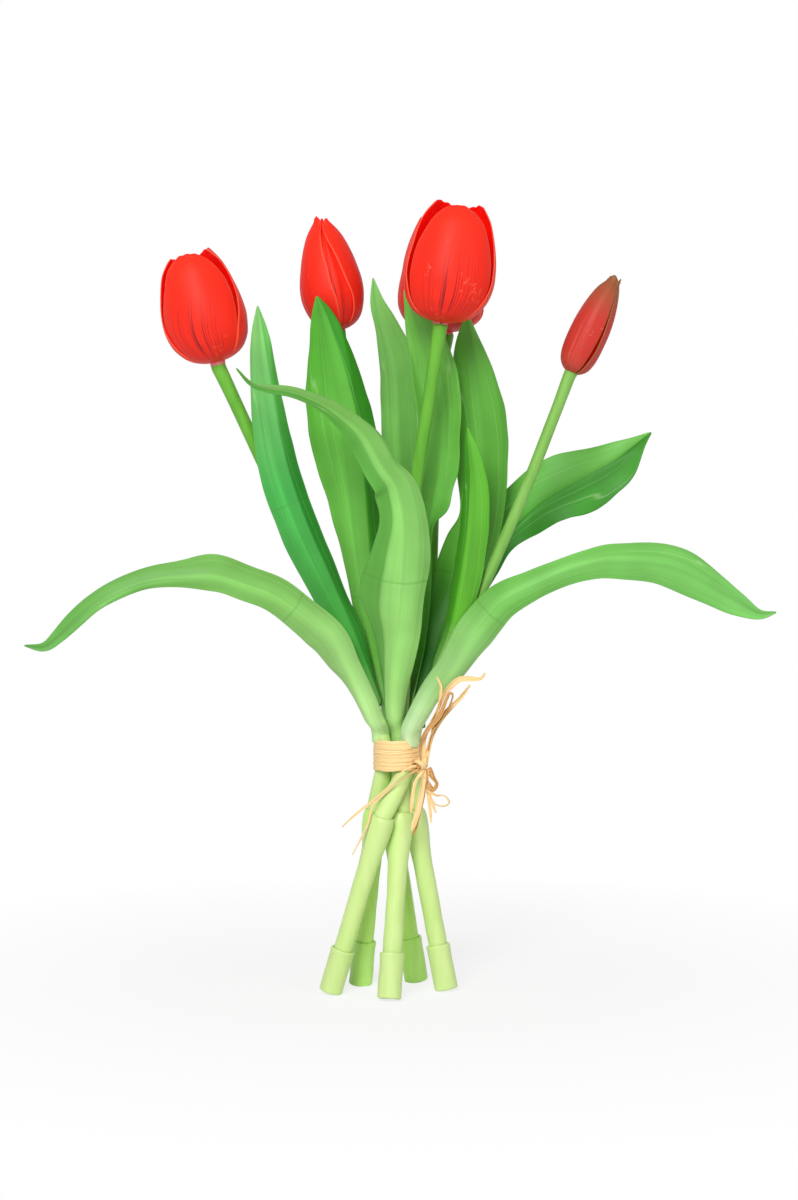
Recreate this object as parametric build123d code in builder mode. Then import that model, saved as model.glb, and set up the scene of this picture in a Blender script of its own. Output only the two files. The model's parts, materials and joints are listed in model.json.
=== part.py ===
from build123d import *
import os
from math import ceil, cos, pi, radians, sin, tan

# A hand-tied bunch of five artificial tulips, standing on its own feet.
# Millimetres. +Z is up, the viewer stands on the -Y side, the origin is on the floor
# under the middle of the bunch.

# Heights of the bunch
tie_height = 120.0  # middle of the raffia tie, over the floor
node_drop = 29.0  # from the tie down to the collar of each lower stem
mouth_rise = 30.0  # from the tie up to the mouth of each stalk, where its flower stem bends

# Fits
press_gap = 0.1  # between a plug and its socket
seat_gap = 0.2  # between pieces that sit against each other
leaf_gap = 0.5  # between a leaf base and its stalk
ball_gap = 0.15  # round the ball that a flower stem bends on
stalk_gap = 0.5  # between stalks in the tie
collar_gap = 0.5  # between collars that stand side by side

# Lower stems with their collars
leg_radius = 4.9
collar_swell = 1.5
collar_radius = leg_radius + collar_swell
collar_length = 7.0
collar_edge = 1.4
collar_step = 2 * collar_radius + collar_gap
socket_depth = 6.0

# Foot sleeves
foot_wall = 1.0
foot_radius = leg_radius + press_gap + foot_wall
foot_length = 23.0
foot_floor = 3.0
foot_lip = 0.4
rest_cut = 0.6  # depth of the flat that each foot stands on

# Stalks through the tie
stalk_radius = 3.6
neck_swell = 0.9
neck_radius = stalk_radius + neck_swell
neck_length = 15.0
stalk_step = 2 * stalk_radius + stalk_gap

# Flower stems and their wires
stem_start = 1.0  # clear height over the stalk, so that the stem can bend
ball_radius = 2.2
ball_neck_radius = 1.6
wire_radius = 0.9
wire_start = 7.0
wire_peg = 6.0
stem_straight = 5.0  # square run under the bloom
bend_share = 0.45  # of the shorter run beside a corner, taken up by its bend

# Receptacles that carry the petals, and pistils
neck_ring_radius = 3.7
neck_ring_height = 2.0
post_radius = 2.6
post_height = 13.0
pistil_height = 16.0
pistil_radius = 2.0
stigma_radius = 1.6
stigma_offset = 1.5
stigma_lobes = 3

# Petals, shell inside shell
petal_thickness = 0.85
shell_step = petal_thickness + 0.4  # at the belly
seat_step = petal_thickness + 0.6  # at the seat on the receptacle
rim_step = petal_thickness + seat_gap  # at the rim
tip_step = 0.9  # each shell is that much lower
outer_spread = 64.0  # half the angle that a petal takes in
inner_spread = 55.0
outer_turns = (0, 120, 240)
inner_turns = (60, 180, 300)
wall_sweep = 170.0  # turned before a petal is cut out of it
cup_width = 0.77  # of the belly, at the foot of the wall
cup_slope = 53.0  # the wall's lean there
cup_reach = 0.15  # of the height
belly_reach = 0.42
shoulder_reach = 0.76
petal_form = [(0.75, 0.2), (1.0, 0.5), (0.88, 0.76)]  # half widths and heights, as shares
tip_reach = 0.96
tip_share = 0.8  # half width at the tip, of the rim's share of the belly
tip_limit = 0.45
tip_trim = 0.6  # keeps the rounded tip clear of the wall's top edge
outer_shells = (2, 0, 1)  # the first petal lies inside its neighbours' edges
inner_shells = (3, 4, 5)

# Leaves
leaf_rib = 1.3
leaf_edge = 0.6
leaf_tip_width = 1.6
clasp_angle = 38.0
clasp_flare = 0.15  # how fast a leaf leaves its stalk
clasp_reach = 0.3  # share of the leaf over which its clasp opens
hollow_reach = 0.4  # share of the leaf over which it turns to its own side
leaf_stations = 11
station_crowding = 1.4  # sections lie closer together near the clasp

# Raffia tie and its knot
strand_radius = 0.8
strand_gap = 0.5
tie_turns = 6
tie_slack = 0.5
tie_start = -60.0  # where the strand begins, seen from above
tie_pitch = 2 * strand_radius + strand_gap
tie_length = tie_turns * tie_pitch
tie_radius = stalk_step + stalk_radius + tie_slack + strand_radius
tie_samples = 600
knot_turn = -51.0  # seen from above, counted from the +X side
knot_drop = 3.5  # under the middle of the tie
knot_radius = 3.4
knot_length = 6.5
knot_waist = 0.7
knot_tilt = 0.4
ribbon_width = 3.2
ribbon_thickness = 0.8
thread_radius = 0.4
end_gap = 0.8  # between the knot and each loose end

# Each tulip: foot is where its leg meets the floor, collar where its node is, in steps of one
# collar, waist the side of the middle stalk that it lies on in the tie (none for the middle one)
# and mouth the top of its stalk. route is the flower stem from there up to the bloom and lean is
# the bloom's axis. Heights count from the middle of the tie, here and in the leaves.
tulips = {
    "left": {
        "foot": (-20.0, 12.0),
        "collar": (-1.13, 0.3),
        "waist": 187.6,
        "mouth": (-16.0, 5.0),
        "route": [(-28.0, 13.0, 58.0), (-50.0, 16.0, 98.0), (-70.5, 17.0, 142.0)],
        "bloom": (-90.9, 17.0, 195.0),
        "lean": (-0.25, 0.0, 1.0),
        "stem_radius": 3.4,
        "radius": 21.2,
        "height": 60.0,
        "shoulder": 17.8,
        "rim": 12.0,
        "turn": -90.0,
    },
    "rear_left": {
        "foot": (8.0, 20.0),
        "collar": (0.23, 1.05),
        "waist": 101.5,
        "mouth": (-6.0, 13.0),
        "route": [(-12.0, 20.0, 70.0), (-20.0, 25.0, 130.0)],
        "bloom": (-30.5, 30.0, 211.0),
        "lean": (-0.14, 0.0, 1.0),
        "stem_radius": 3.2,
        "radius": 15.8,
        "height": 58.0,
        "shoulder": 12.0,
        "rim": 7.0,
        "turn": -150.0,
    },
    "front": {
        "foot": (-4.0, -28.0),
        "collar": (0.15, -0.45),
        "waist": None,
        "mouth": (2.0, -1.5),
        "route": [(3.5, -4.5, 80.0), (7.9, -8.0, 133.0), (13.5, -11.5, 170.0)],
        "bloom": (20.4, -14.0, 214.8),
        "lean": (0.14, 0.0, 1.0),
        "stem_radius": 3.25,
        "radius": 22.5,
        "height": 61.0,
        "shoulder": 19.2,
        "rim": 12.5,
        "turn": -90.0,
    },
    "rear": {
        "foot": (23.0, -3.0),
        "collar": (0.9, 0.3),
        "waist": 19.1,
        "mouth": (11.0, 8.0),
        "route": [(15.5, 23.0, 75.0), (20.0, 33.0, 130.0)],
        "bloom": (24.0, 37.5, 209.5),
        "lean": (-0.05, 0.03, 1.0),
        "stem_radius": 3.2,
        "radius": 19.5,
        "height": 60.0,
        "shoulder": 16.4,
        "rim": 10.5,
        "turn": -60.0,
    },
    "right": {
        "foot": (-34.0, -11.0),
        "collar": (-0.68, -1.2),
        "waist": -63.4,
        "mouth": (16.5, -8.5),
        "route": [(35.0, -10.0, 73.0), (59.0, -9.5, 130.0)],
        "bloom": (84.7, -8.0, 190.4),
        "lean": (0.46, 0.02, 1.0),
        "stem_radius": 2.9,
        "radius": 10.0,
        "height": 52.0,
        "shoulder": 7.8,
        "rim": 4.6,
        "turn": -115.0,
    },
}
bud = "right"
open_blooms = ("left", "front", "rear")

# Each leaf: its tulip, its base as a share of the stalk between tie and mouth, the side of the
# stalk that it clasps, the route of its back rib from there, the side that its hollow face turns
# to at mid length, its greatest width, where that is along the leaf, how hollow it is and how
# fast it tapers.
leaves = {
    "left_arch_leaf": {
        "tulip": "left",
        "base": 0.24,
        "side": (-0.8, -0.6),
        "route": [
            (-28.0, -11.0, 46.0),
            (-50.0, -16.0, 69.0),
            (-71.0, -19.0, 83.0),
            (-93.0, -21.0, 91.0),
            (-118.0, -22.0, 89.0),
            (-148.0, -23.0, 80.0),
            (-167.0, -23.0, 64.0),
            (-176.0, -23.0, 58.0),
            (-187.0, -23.0, 57.5),
        ],
        "hollow": (0.0, -0.7, 0.7),
        "width": 23.0,
        "widest": 0.5,
        "cup": 26.0,
        "taper": 1.7,
    },
    "left_tall_leaf": {
        "tulip": "left",
        "base": 0.83,
        "side": (0.5, -0.87),
        "route": [
            (-20.5, 1.0, 48.0),
            (-36.5, 2.0, 83.0),
            (-51.0, 3.0, 115.0),
            (-62.0, 4.0, 150.0),
            (-68.0, 5.0, 190.0),
            (-70.5, 6.0, 224.0),
        ],
        "hollow": (0.3, 1.0, 0.0),
        "width": 24.0,
        "widest": 0.5,
        "cup": 24.0,
        "taper": 1.8,
    },
    "rear_left_broad_leaf": {
        "tulip": "rear_left",
        "base": 0.58,
        "side": (-0.8, -0.6),
        "route": [
            (-14.0, 8.5, 52.0),
            (-20.5, 8.0, 92.0),
            (-24.5, 7.0, 127.0),
            (-28.5, 7.0, 162.0),
            (-34.0, 8.0, 197.0),
            (-41.0, 9.0, 229.0),
        ],
        "hollow": (0.1, 1.0, 0.0),
        "width": 33.0,
        "widest": 0.62,
        "cup": 22.0,
        "taper": 2.0,
    },
    "rear_left_slim_leaf": {
        "tulip": "rear_left",
        "base": 0.58,
        "side": (0.8, 0.6),
        "route": [
            (3.0, 19.5, 60.0),
            (6.0, 22.0, 107.0),
            (5.0, 23.0, 147.0),
            (1.0, 22.5, 177.0),
            (-5.0, 21.5, 207.0),
            (-11.5, 20.5, 236.0),
        ],
        "hollow": (0.1, -1.0, 0.0),
        "width": 24.0,
        "widest": 0.6,
        "cup": 38.0,
        "taper": 1.9,
    },
    "front_arch_leaf": {
        "tulip": "front",
        "base": 0.24,
        "side": (-0.5, -0.87),
        "route": [
            (-1.5, -17.0, 44.0),
            (-4.0, -27.0, 77.0),
            (3.0, -33.0, 99.0),
            (3.0, -37.5, 119.0),
            (-3.0, -42.0, 140.0),
            (-12.5, -45.0, 159.0),
            (-28.0, -48.0, 173.0),
            (-45.0, -50.5, 182.0),
            (-63.0, -52.0, 187.5),
            (-78.0, -53.0, 196.0),
        ],
        "hollow": (-0.1, 0.75, -0.65),
        "width": 35.0,
        "widest": 0.3,
        "cup": 24.0,
        "taper": 1.0,
    },
    "front_tall_leaf": {
        "tulip": "front",
        "base": 0.66,
        "side": (0.2, 0.98),
        "route": [
            (8.0, 7.0, 62.0),
            (14.5, 7.5, 112.0),
            (19.0, 8.0, 142.0),
            (19.5, 9.0, 172.0),
            (13.0, 10.0, 202.0),
            (2.5, 11.0, 232.0),
        ],
        "hollow": (0.0, -1.0, 0.0),
        "width": 27.0,
        "widest": 0.6,
        "cup": 22.0,
        "taper": 1.9,
    },
    "rear_tall_leaf": {
        "tulip": "rear",
        "base": 0.62,
        "side": (0.7, -0.7),
        "route": [
            (20.0, 5.5, 48.0),
            (31.5, 11.0, 81.0),
            (41.0, 14.0, 116.0),
            (43.0, 15.0, 152.0),
            (40.5, 16.0, 182.0),
            (36.0, 17.0, 212.0),
        ],
        "hollow": (0.0, 1.0, 0.0),
        "width": 28.0,
        "widest": 0.6,
        "cup": 22.0,
        "taper": 2.0,
    },
    "rear_side_leaf": {
        "tulip": "rear",
        "base": 0.58,
        "side": (0.8, 0.6),
        "route": [
            (22.0, 18.0, 40.0),
            (36.0, 25.0, 70.0),
            (51.0, 29.0, 102.0),
            (69.0, 31.0, 122.0),
            (89.0, 31.0, 135.0),
            (109.0, 30.0, 146.0),
            (128.0, 29.0, 159.0),
        ],
        "hollow": (-0.35, -0.75, 0.55),
        "width": 33.0,
        "widest": 0.66,
        "cup": 24.0,
        "taper": 2.6,
    },
    "right_arch_leaf": {
        "tulip": "right",
        "base": 0.24,
        "side": (0.6, -0.8),
        "route": [
            (25.0, -18.5, 43.0),
            (35.0, -22.0, 59.0),
            (49.0, -24.5, 75.0),
            (70.0, -25.0, 88.0),
            (101.0, -24.0, 98.0),
            (134.0, -23.0, 97.0),
            (156.0, -22.0, 88.0),
            (175.0, -21.0, 76.5),
            (187.5, -20.0, 74.0),
        ],
        "hollow": (0.0, -0.7, 0.7),
        "width": 25.0,
        "widest": 0.5,
        "cup": 26.0,
        "taper": 1.8,
    },
    "right_slim_leaf": {
        "tulip": "right",
        "base": 0.83,
        "side": (-0.95, -0.3),
        "route": [
            (21.0, -14.5, 56.0),
            (30.5, -16.0, 83.0),
            (36.0, -15.0, 112.0),
            (37.0, -14.0, 138.0),
            (33.5, -13.0, 164.0),
        ],
        "hollow": (0.3, 0.95, 0.0),
        "width": 15.0,
        "widest": 0.6,
        "cup": 24.0,
        "taper": 1.9,
    },
}

# Raffia ends, each a route from the middle of the knot, which it leaves in the direction of its
# first point: the bow rises to the right, the tails hang over the feet, two fine threads hang to
# the left.
bow_routes = [
    [(0.9, -2.0, 3.7), (7.3, -8.8, 20.5), (15.3, -12.8, 33.5), (28.3, -15.8, 43.5)],
    [(2.5, -1.0, 3.3), (8.3, -6.8, 16.5), (14.3, -10.8, 28.5), (16.8, -13.3, 38.5)],
]
tail_routes = [
    [(0.4, -2.4, -4.2), (0.8, -5.3, -13.5), (-2.2, -6.8, -23.5), (-4.7, -7.3, -32.0)],
    [(1.8, -1.0, -3.4), (6.3, -2.8, -12.5), (5.3, -3.8, -19.5), (4.8, -4.3, -25.5)],
    [(3.8, 0.5, -2.1), (9.8, -0.3, -7.5), (12.8, -1.3, -14.5), (8.3, -2.3, -19.0)],
]
thread_routes = [
    [(-3.4, -2.5, -0.5), (-14.7, -7.8, -8.5), (-24.7, -11.8, -19.5), (-38.7, -12.8, -30.5)],
    [(-2.2, -2.6, -2.4), (-12.7, -8.8, -12.5), (-20.7, -12.8, -24.5), (-30.7, -13.8, -40.0)],
]


# Shared geometry


def save(piece, name):
    piece.part.label = name
    export_step(piece.part, f"parts/{name}.step")


def bend_radii(points):
    """The largest even fillet at each corner of a route."""
    radii = []
    for before, here, after in zip(points, points[1:], points[2:]):
        first = Vector(here) - Vector(before)
        second = Vector(after) - Vector(here)
        turn = radians(first.get_angle(second))
        run = min(first.length, second.length)
        radii.append(bend_share * run / tan(turn / 2))
    return radii


def axial_plane(origin, axis, across=None):
    """A plane whose y runs along an axis, for profiles to revolve about it."""
    x = across or axis.cross(Vector(0, 1, 0)).normalized()
    return Plane(origin=origin, x_dir=x, z_dir=x.cross(axis))


def smooth(value):
    value = min(max(value, 0.0), 1.0)
    return value * value * (3 - 2 * value)


def above_tie(point):
    x, y, rise = point
    return Vector(x, y, tie_height + rise)


def node_point(tulip):
    x, y = tulip["collar"]
    return Vector(x * collar_step, y * collar_step, tie_height - node_drop)


def waist_point(tulip, rise):
    if tulip["waist"] is None:
        return above_tie((0, 0, rise))
    return above_tie((stalk_step, 0, rise)).rotate(Axis.Z, tulip["waist"])


def leg_frame(tulip):
    """Where a foot's square end sits on its leg, the leg's direction and its length to the node."""
    floor_point = Vector(*tulip["foot"], 0)
    node = node_point(tulip)
    along = (node - floor_point).normalized()
    end_height = foot_radius * sin(radians(along.get_angle(Vector(0, 0, 1)))) - rest_cut
    end = floor_point + along * (end_height / along.Z)
    return end, along, (node - end).length


def stalk_line(tulip):
    """The corners of a stalk: the bottom of its plug, both ends of the tie and the mouth."""
    node = node_point(tulip)
    tie_bottom = waist_point(tulip, -tie_length / 2)
    tie_top = waist_point(tulip, tie_length / 2)
    mouth = above_tie((*tulip["mouth"], mouth_rise))
    plug = node - (tie_bottom - node).normalized() * socket_depth
    return [plug, tie_bottom, tie_top, mouth]


def bloom_frame(tulip):
    """The foot of a bloom and its axis."""
    return above_tie(tulip["bloom"]), Vector(*tulip["lean"]).normalized()


def stem_line(tulip):
    """The corners of a flower stem from the mouth to the bloom, the last run on the bloom's axis."""
    mouth = stalk_line(tulip)[-1]
    route = [above_tie(point) for point in tulip["route"]]
    bloom, lean = bloom_frame(tulip)
    return [mouth] + route + [bloom - lean * stem_straight, bloom]


# Feet and lower stems


def make_foot(name, tulip):
    end, along, _ = leg_frame(tulip)
    bottom = Plane(origin=end, z_dir=along)
    with BuildPart() as foot:
        with BuildSketch(bottom):
            Circle(foot_radius)
        extrude(amount=foot_length)
        chamfer(foot.faces().sort_by(Axis(end, along))[-1].edges(), foot_lip)
        with BuildSketch(bottom.offset(foot_floor)):
            Circle(leg_radius + press_gap)
        extrude(amount=foot_length, mode=Mode.SUBTRACT)
        split(bisect_by=Plane.XY, keep=Keep.TOP)
    save(foot, f"{name}_foot")


def make_lower_stem(name, tulip):
    end, along, node_reach = leg_frame(tulip)
    start = foot_floor + seat_gap
    swell = node_reach - collar_length
    plug, tie_bottom = stalk_line(tulip)[:2]
    with BuildPart() as stem:
        with BuildSketch(axial_plane(end, along)):
            with BuildLine():
                Polyline((0, start), (leg_radius, start), (leg_radius, swell - collar_length))
                Spline(
                    (leg_radius, swell - collar_length),
                    (collar_radius, swell),
                    tangents=[(0, 1), (0, 1)],
                )
                Polyline(
                    (collar_radius, swell),
                    (collar_radius, node_reach - collar_edge),
                    (collar_radius - collar_edge / 2, node_reach),
                    (0, node_reach),
                    (0, start),
                )
            make_face()
        revolve(axis=Axis(end, along))
        with BuildSketch(Plane(origin=plug, z_dir=tie_bottom - plug)):
            Circle(neck_radius + press_gap)
        extrude(amount=2 * socket_depth, mode=Mode.SUBTRACT)
    save(stem, f"{name}_lower_stem")


# Stalks


def make_stalk(name, tulip):
    plug, tie_bottom, tie_top, mouth = stalk_line(tulip)
    up = (tie_bottom - plug).normalized()
    neck_end = socket_depth + neck_length
    corners = [plug + up * neck_end, tie_bottom, tie_top, mouth]
    with BuildLine() as core:
        FilletPolyline(corners, radius=bend_radii(corners))
    with BuildPart() as stalk:
        with BuildSketch(axial_plane(plug, up)):
            with BuildLine():
                Polyline(
                    (0, seat_gap),
                    (neck_radius, seat_gap),
                    (neck_radius, socket_depth + collar_edge),
                    (stalk_radius, neck_end),
                    (0, neck_end),
                    close=True,
                )
            make_face()
        revolve(axis=Axis(plug, up))
        with BuildSketch(Plane(origin=corners[0], z_dir=up)):
            Circle(stalk_radius)
        sweep(path=core.wire())
        with Locations(mouth):
            Sphere(ball_radius + ball_gap, mode=Mode.SUBTRACT)
    save(stalk, f"{name}_stalk")


# Flower stems


def make_flower_stem(name, tulip):
    corners = stem_line(tulip)
    mouth, first = corners[0], corners[1]
    up = (first - mouth).normalized()
    radii = bend_radii(corners)
    radius = tulip["stem_radius"]
    with BuildLine() as core:
        FilletPolyline([mouth + up * stem_start] + corners[1:], radius=radii)
    with BuildLine() as bore:
        FilletPolyline([mouth + up * wire_start] + corners[1:], radius=radii)
    with BuildPart() as stem:
        with BuildSketch(Plane(origin=mouth + up * stem_start, z_dir=up)):
            Circle(radius)
        sweep(path=core.wire())
        with BuildSketch(Plane(origin=mouth + up * wire_start, z_dir=up)):
            Circle(wire_radius + press_gap)
        sweep(path=bore.wire(), mode=Mode.SUBTRACT)
        with Locations(mouth):
            Sphere(ball_radius)
        with BuildSketch(Plane(origin=mouth, z_dir=up)):
            Circle(ball_neck_radius)
        extrude(amount=stem_start + ball_gap)
    save(stem, f"{name}_flower_stem")


def make_stem_wire(name, tulip):
    corners = stem_line(tulip)
    mouth, first = corners[0], corners[1]
    up = (first - mouth).normalized()
    bloom, lean = bloom_frame(tulip)
    route = [mouth + up * (wire_start + seat_gap)] + corners[1:-1] + [bloom + lean * wire_peg]
    with BuildLine() as core:
        FilletPolyline(route, radius=bend_radii(corners))
    with BuildPart() as wire:
        with BuildSketch(Plane(origin=route[0], z_dir=up)):
            Circle(wire_radius)
        sweep(path=core.wire())
    save(wire, f"{name}_stem_wire")


# Blooms


def make_receptacle(name, tulip):
    bloom, lean = bloom_frame(tulip)
    shoulder = neck_ring_height + seat_gap
    bore = wire_radius + press_gap
    bore_end = wire_peg + seat_gap
    with BuildPart() as receptacle:
        with BuildSketch(axial_plane(bloom, lean)):
            with BuildLine():
                Polyline(
                    (bore, seat_gap),
                    (neck_ring_radius - collar_edge / 2, seat_gap),
                    (neck_ring_radius, shoulder / 2),
                    (neck_ring_radius - collar_edge / 2, shoulder),
                    (post_radius, shoulder),
                    (post_radius, post_height),
                    (0, post_height),
                    (0, bore_end),
                    (bore, bore_end),
                    close=True,
                )
            make_face()
        revolve(axis=Axis(bloom, lean))
    save(receptacle, f"{name}_receptacle")


def make_pistil(name, tulip):
    bloom, lean = bloom_frame(tulip)
    seat = Plane(origin=bloom, z_dir=lean).offset(post_height)
    with BuildPart() as pistil:
        with BuildSketch(seat):
            Circle(pistil_radius)
        extrude(amount=pistil_height)
        with Locations(seat.offset(pistil_height)):
            with PolarLocations(stigma_offset, stigma_lobes):
                Sphere(stigma_radius)
    save(pistil, f"{name}_pistil")


def wall_face(tulip, shell):
    """The section through one shell of petals: radius out, height up the bloom's axis."""
    seat = neck_ring_height + 2 * seat_gap + shell * seat_step
    inner = post_radius + seat_gap
    belly = tulip["radius"] - shell * shell_step
    rim = tulip["rim"] - shell * rim_step
    top = tulip["height"] - shell * tip_step
    shoulder = tulip["shoulder"] - shell * (shell_step + rim_step) / 2
    cup = cup_width * belly
    low = cup_reach * tulip["height"] + shell * seat_step / 2
    middle = belly_reach * tulip["height"]
    high = shoulder_reach * tulip["height"]
    wall = petal_thickness
    slope = radians(cup_slope)
    with BuildLine() as section:
        Spline((inner, seat), (cup, low), (belly, middle), (shoulder, high), (rim, top))
        Line((rim, top), (rim - wall, top))
        Spline(
            (rim - wall, top),
            (shoulder - wall, high),
            (belly - wall, middle),
            (cup - wall * cos(slope), low + wall * sin(slope)),
            (inner, seat + wall),
        )
        Line((inner, seat + wall), (inner, seat))
    make_face(section.edges())


def petal_outline(tulip, shell, spread):
    """A petal seen from its front: narrow claw, broad middle, rounded tip."""
    belly = tulip["radius"] - shell * shell_step
    half = belly * sin(radians(spread))
    top = tulip["height"] - shell * tip_step - tip_trim
    claw = post_radius
    tip = min(tip_share * tulip["rim"] / tulip["radius"], tip_limit)
    right = [(width * half, reach * top) for width, reach in petal_form]
    right += [(tip * half, tip_reach * top), (0, top)]
    left = [(-x, y) for x, y in reversed(right)]
    with BuildLine() as outline:
        Spline([(claw, 0)] + right, tangents=[(1, 1), (-1, 0)])
        Spline(left + [(-claw, 0)], tangents=[(-1, 0), (1, -1)])
        Line((-claw, 0), (claw, 0))
    make_face(outline.edges())


def make_petals(name, tulip, shells, turns, spread):
    bloom, lean = bloom_frame(tulip)
    level = Plane(origin=bloom, x_dir=(1, 0, -lean.X / lean.Z), z_dir=lean)
    petals = []
    for shell, turn in zip(shells, turns):
        facing = level.x_dir.rotate(Axis((0, 0, 0), lean), turn + tulip["turn"])
        with BuildPart() as petal:
            start = facing.rotate(Axis((0, 0, 0), lean), -wall_sweep / 2)
            with BuildSketch(axial_plane(bloom, lean, start)):
                wall_face(tulip, shell)
            revolve(axis=Axis(bloom, lean), revolution_arc=wall_sweep)
            with BuildSketch(axial_plane(bloom, lean, lean.cross(facing))):
                petal_outline(tulip, shell, spread)
            extrude(amount=2 * tulip["radius"], mode=Mode.INTERSECT)
        petals.append(petal.part)
    with BuildPart() as ring:
        add(petals)
    save(ring, name)


def make_bud_core(name, tulip):
    bloom, lean = bloom_frame(tulip)
    shells = len(outer_turns)
    belly = tulip["radius"] - shells * shell_step
    low = neck_ring_height + 2 * seat_gap + shells * seat_step
    inner = post_radius + seat_gap
    ceiling = post_height + seat_gap
    top = tulip["height"] - (shells + 1) * tip_step
    with BuildPart() as core:
        with BuildSketch(axial_plane(bloom, lean)):
            with BuildLine():
                Line((inner, ceiling), (inner, low))
                Spline(
                    (inner, low),
                    (cup_width * belly, cup_reach * tulip["height"] + shells * seat_step / 2),
                    (belly, belly_reach * tulip["height"]),
                    (tulip["shoulder"] - shells * shell_step, shoulder_reach * tulip["height"]),
                    (seat_gap, top),
                )
                Polyline((seat_gap, top), (0, top), (0, ceiling), (inner, ceiling))
            make_face()
        revolve(axis=Axis(bloom, lean))
    save(core, name)


# Leaves


def leaf_rib_line(leaf):
    """The back rib of a leaf, from its clasp on the stalk to its tip."""
    tie_top, mouth = stalk_line(tulips[leaf["tulip"]])[2:]
    along = (mouth - tie_top).normalized()
    centre = tie_top + (mouth - tie_top) * leaf["base"]
    side = Vector(*leaf["side"], 0)
    side = (side - along * side.dot(along)).normalized()
    start = centre + side * (stalk_radius + leaf_gap + leaf_rib)
    points = [start] + [above_tie(point) for point in leaf["route"]]
    return points, along, side


def blade_width(leaf, reach):
    base = 2 * (stalk_radius + leaf_gap + leaf_rib) * sin(radians(clasp_angle))
    if reach < leaf["widest"]:
        return base + (leaf["width"] - base) * sin(pi / 2 * reach / leaf["widest"]) ** 2
    fall = (reach - leaf["widest"]) / (1 - leaf["widest"])
    return leaf_tip_width + (leaf["width"] - leaf_tip_width) * (1 - fall ** leaf["taper"])


def make_leaf(name, leaf):
    points, along, side = leaf_rib_line(leaf)
    with BuildLine() as rib:
        Spline(points, tangents=[along + side * clasp_flare, points[-1] - points[-2]])
    path = rib.edge()
    with BuildPart() as blade:
        for station in range(leaf_stations + 1):
            reach = (station / leaf_stations) ** station_crowding
            here = path.position_at(reach)
            ahead = path.tangent_at(reach)
            turn = smooth(reach / hollow_reach)
            hollow = side * (turn - 1) + Vector(*leaf["hollow"]) * turn
            hollow = (hollow - ahead * hollow.dot(ahead)).normalized()
            half = blade_width(leaf, reach) / 2
            opened = smooth(reach / clasp_reach)
            bend = radians(clasp_angle + (leaf["cup"] - clasp_angle) * opened)
            rise = half * tan(bend / 2)
            thick = leaf_rib + (leaf_edge - leaf_rib) * reach
            edge = leaf_rib + (leaf_edge - leaf_rib) * opened
            lip_x = half - edge * sin(bend)
            lip_y = rise + edge * cos(bend)
            if reach == 1:
                lip_x = half
                lip_y = rise + edge
            with BuildSketch(Plane(origin=here, x_dir=hollow.cross(ahead), z_dir=ahead)):
                with BuildLine():
                    ThreePointArc((-half, rise), (0, 0), (half, rise))
                    Line((half, rise), (lip_x, lip_y))
                    ThreePointArc((lip_x, lip_y), (0, thick), (-lip_x, lip_y))
                    Line((-lip_x, lip_y), (-half, rise))
                make_face()
        loft()
    save(blade, name)


# Raffia


def make_tie():
    """One strand in tie_turns turns, each quarter turn a pair of arcs that meet on one tangent."""
    quarters = 4 * tie_turns

    def on_helix(quarter):
        turn = tie_start + 90 * quarter
        rise = tie_pitch * quarter / 4 - tie_length / 2
        place = above_tie((tie_radius, 0, rise)).rotate(Axis.Z, turn)
        heading = Vector(0, tie_radius, tie_pitch / (2 * pi)).rotate(Axis.Z, turn)
        return place, heading.normalized()

    run = 2 * strand_radius
    with BuildLine() as core:
        first, heading = on_helix(0)
        Line(first - heading * run, first)
        for quarter in range(quarters):
            here, leaving = on_helix(quarter)
            there, arriving = on_helix(quarter + 1)
            gap = there - here
            sum_heading = leaving + arriving
            a = sum_heading.dot(sum_heading) - 4
            b = -2 * gap.dot(sum_heading)
            c = gap.dot(gap)
            reach = (-b - (b * b - 4 * a * c) ** 0.5) / (2 * a)
            meet = (here + leaving * reach + there - arriving * reach) * 0.5
            TangentArc(here, meet, tangent=leaving)
            TangentArc(meet, there, tangent=(there - arriving * reach) - meet)
        last, heading = on_helix(quarters)
        Line(last, last + heading * run)
    path = core.wire()
    samples = [path.position_at(k / tie_samples) for k in range(tie_samples + 1)]
    lap = ceil(tie_samples / tie_turns / 2)
    clear = min((a - b).length for i, a in enumerate(samples) for b in samples[i + lap :])
    print("least gap between turns of the tie:", round(clear - 2 * strand_radius, 3))
    with BuildPart() as tie:
        with BuildSketch(Plane(origin=path @ 0, z_dir=path % 0)):
            Circle(strand_radius)
        sweep(path=path)
    save(tie, "raffia_tie")


def knot_place():
    reach = tie_radius + strand_radius + knot_radius + seat_gap
    return above_tie((reach, 0, -knot_drop)).rotate(Axis.Z, knot_turn)


def make_knot():
    place = knot_place()
    axis = Vector(0, 1, knot_tilt).rotate(Axis.Z, knot_turn).normalized()
    half = knot_length / 2
    waist = knot_waist * knot_radius
    end = knot_radius / 2
    with BuildPart() as knot:
        with BuildSketch(axial_plane(place, axis)):
            with BuildLine():
                ThreePointArc((end, -half), (knot_radius, -half / 2), (waist, 0))
                ThreePointArc((waist, 0), (knot_radius, half / 2), (end, half))
                Polyline((end, half), (0, half), (0, -half), (end, -half))
            make_face()
        revolve(axis=Axis(place, axis))
    save(knot, "raffia_knot")


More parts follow.
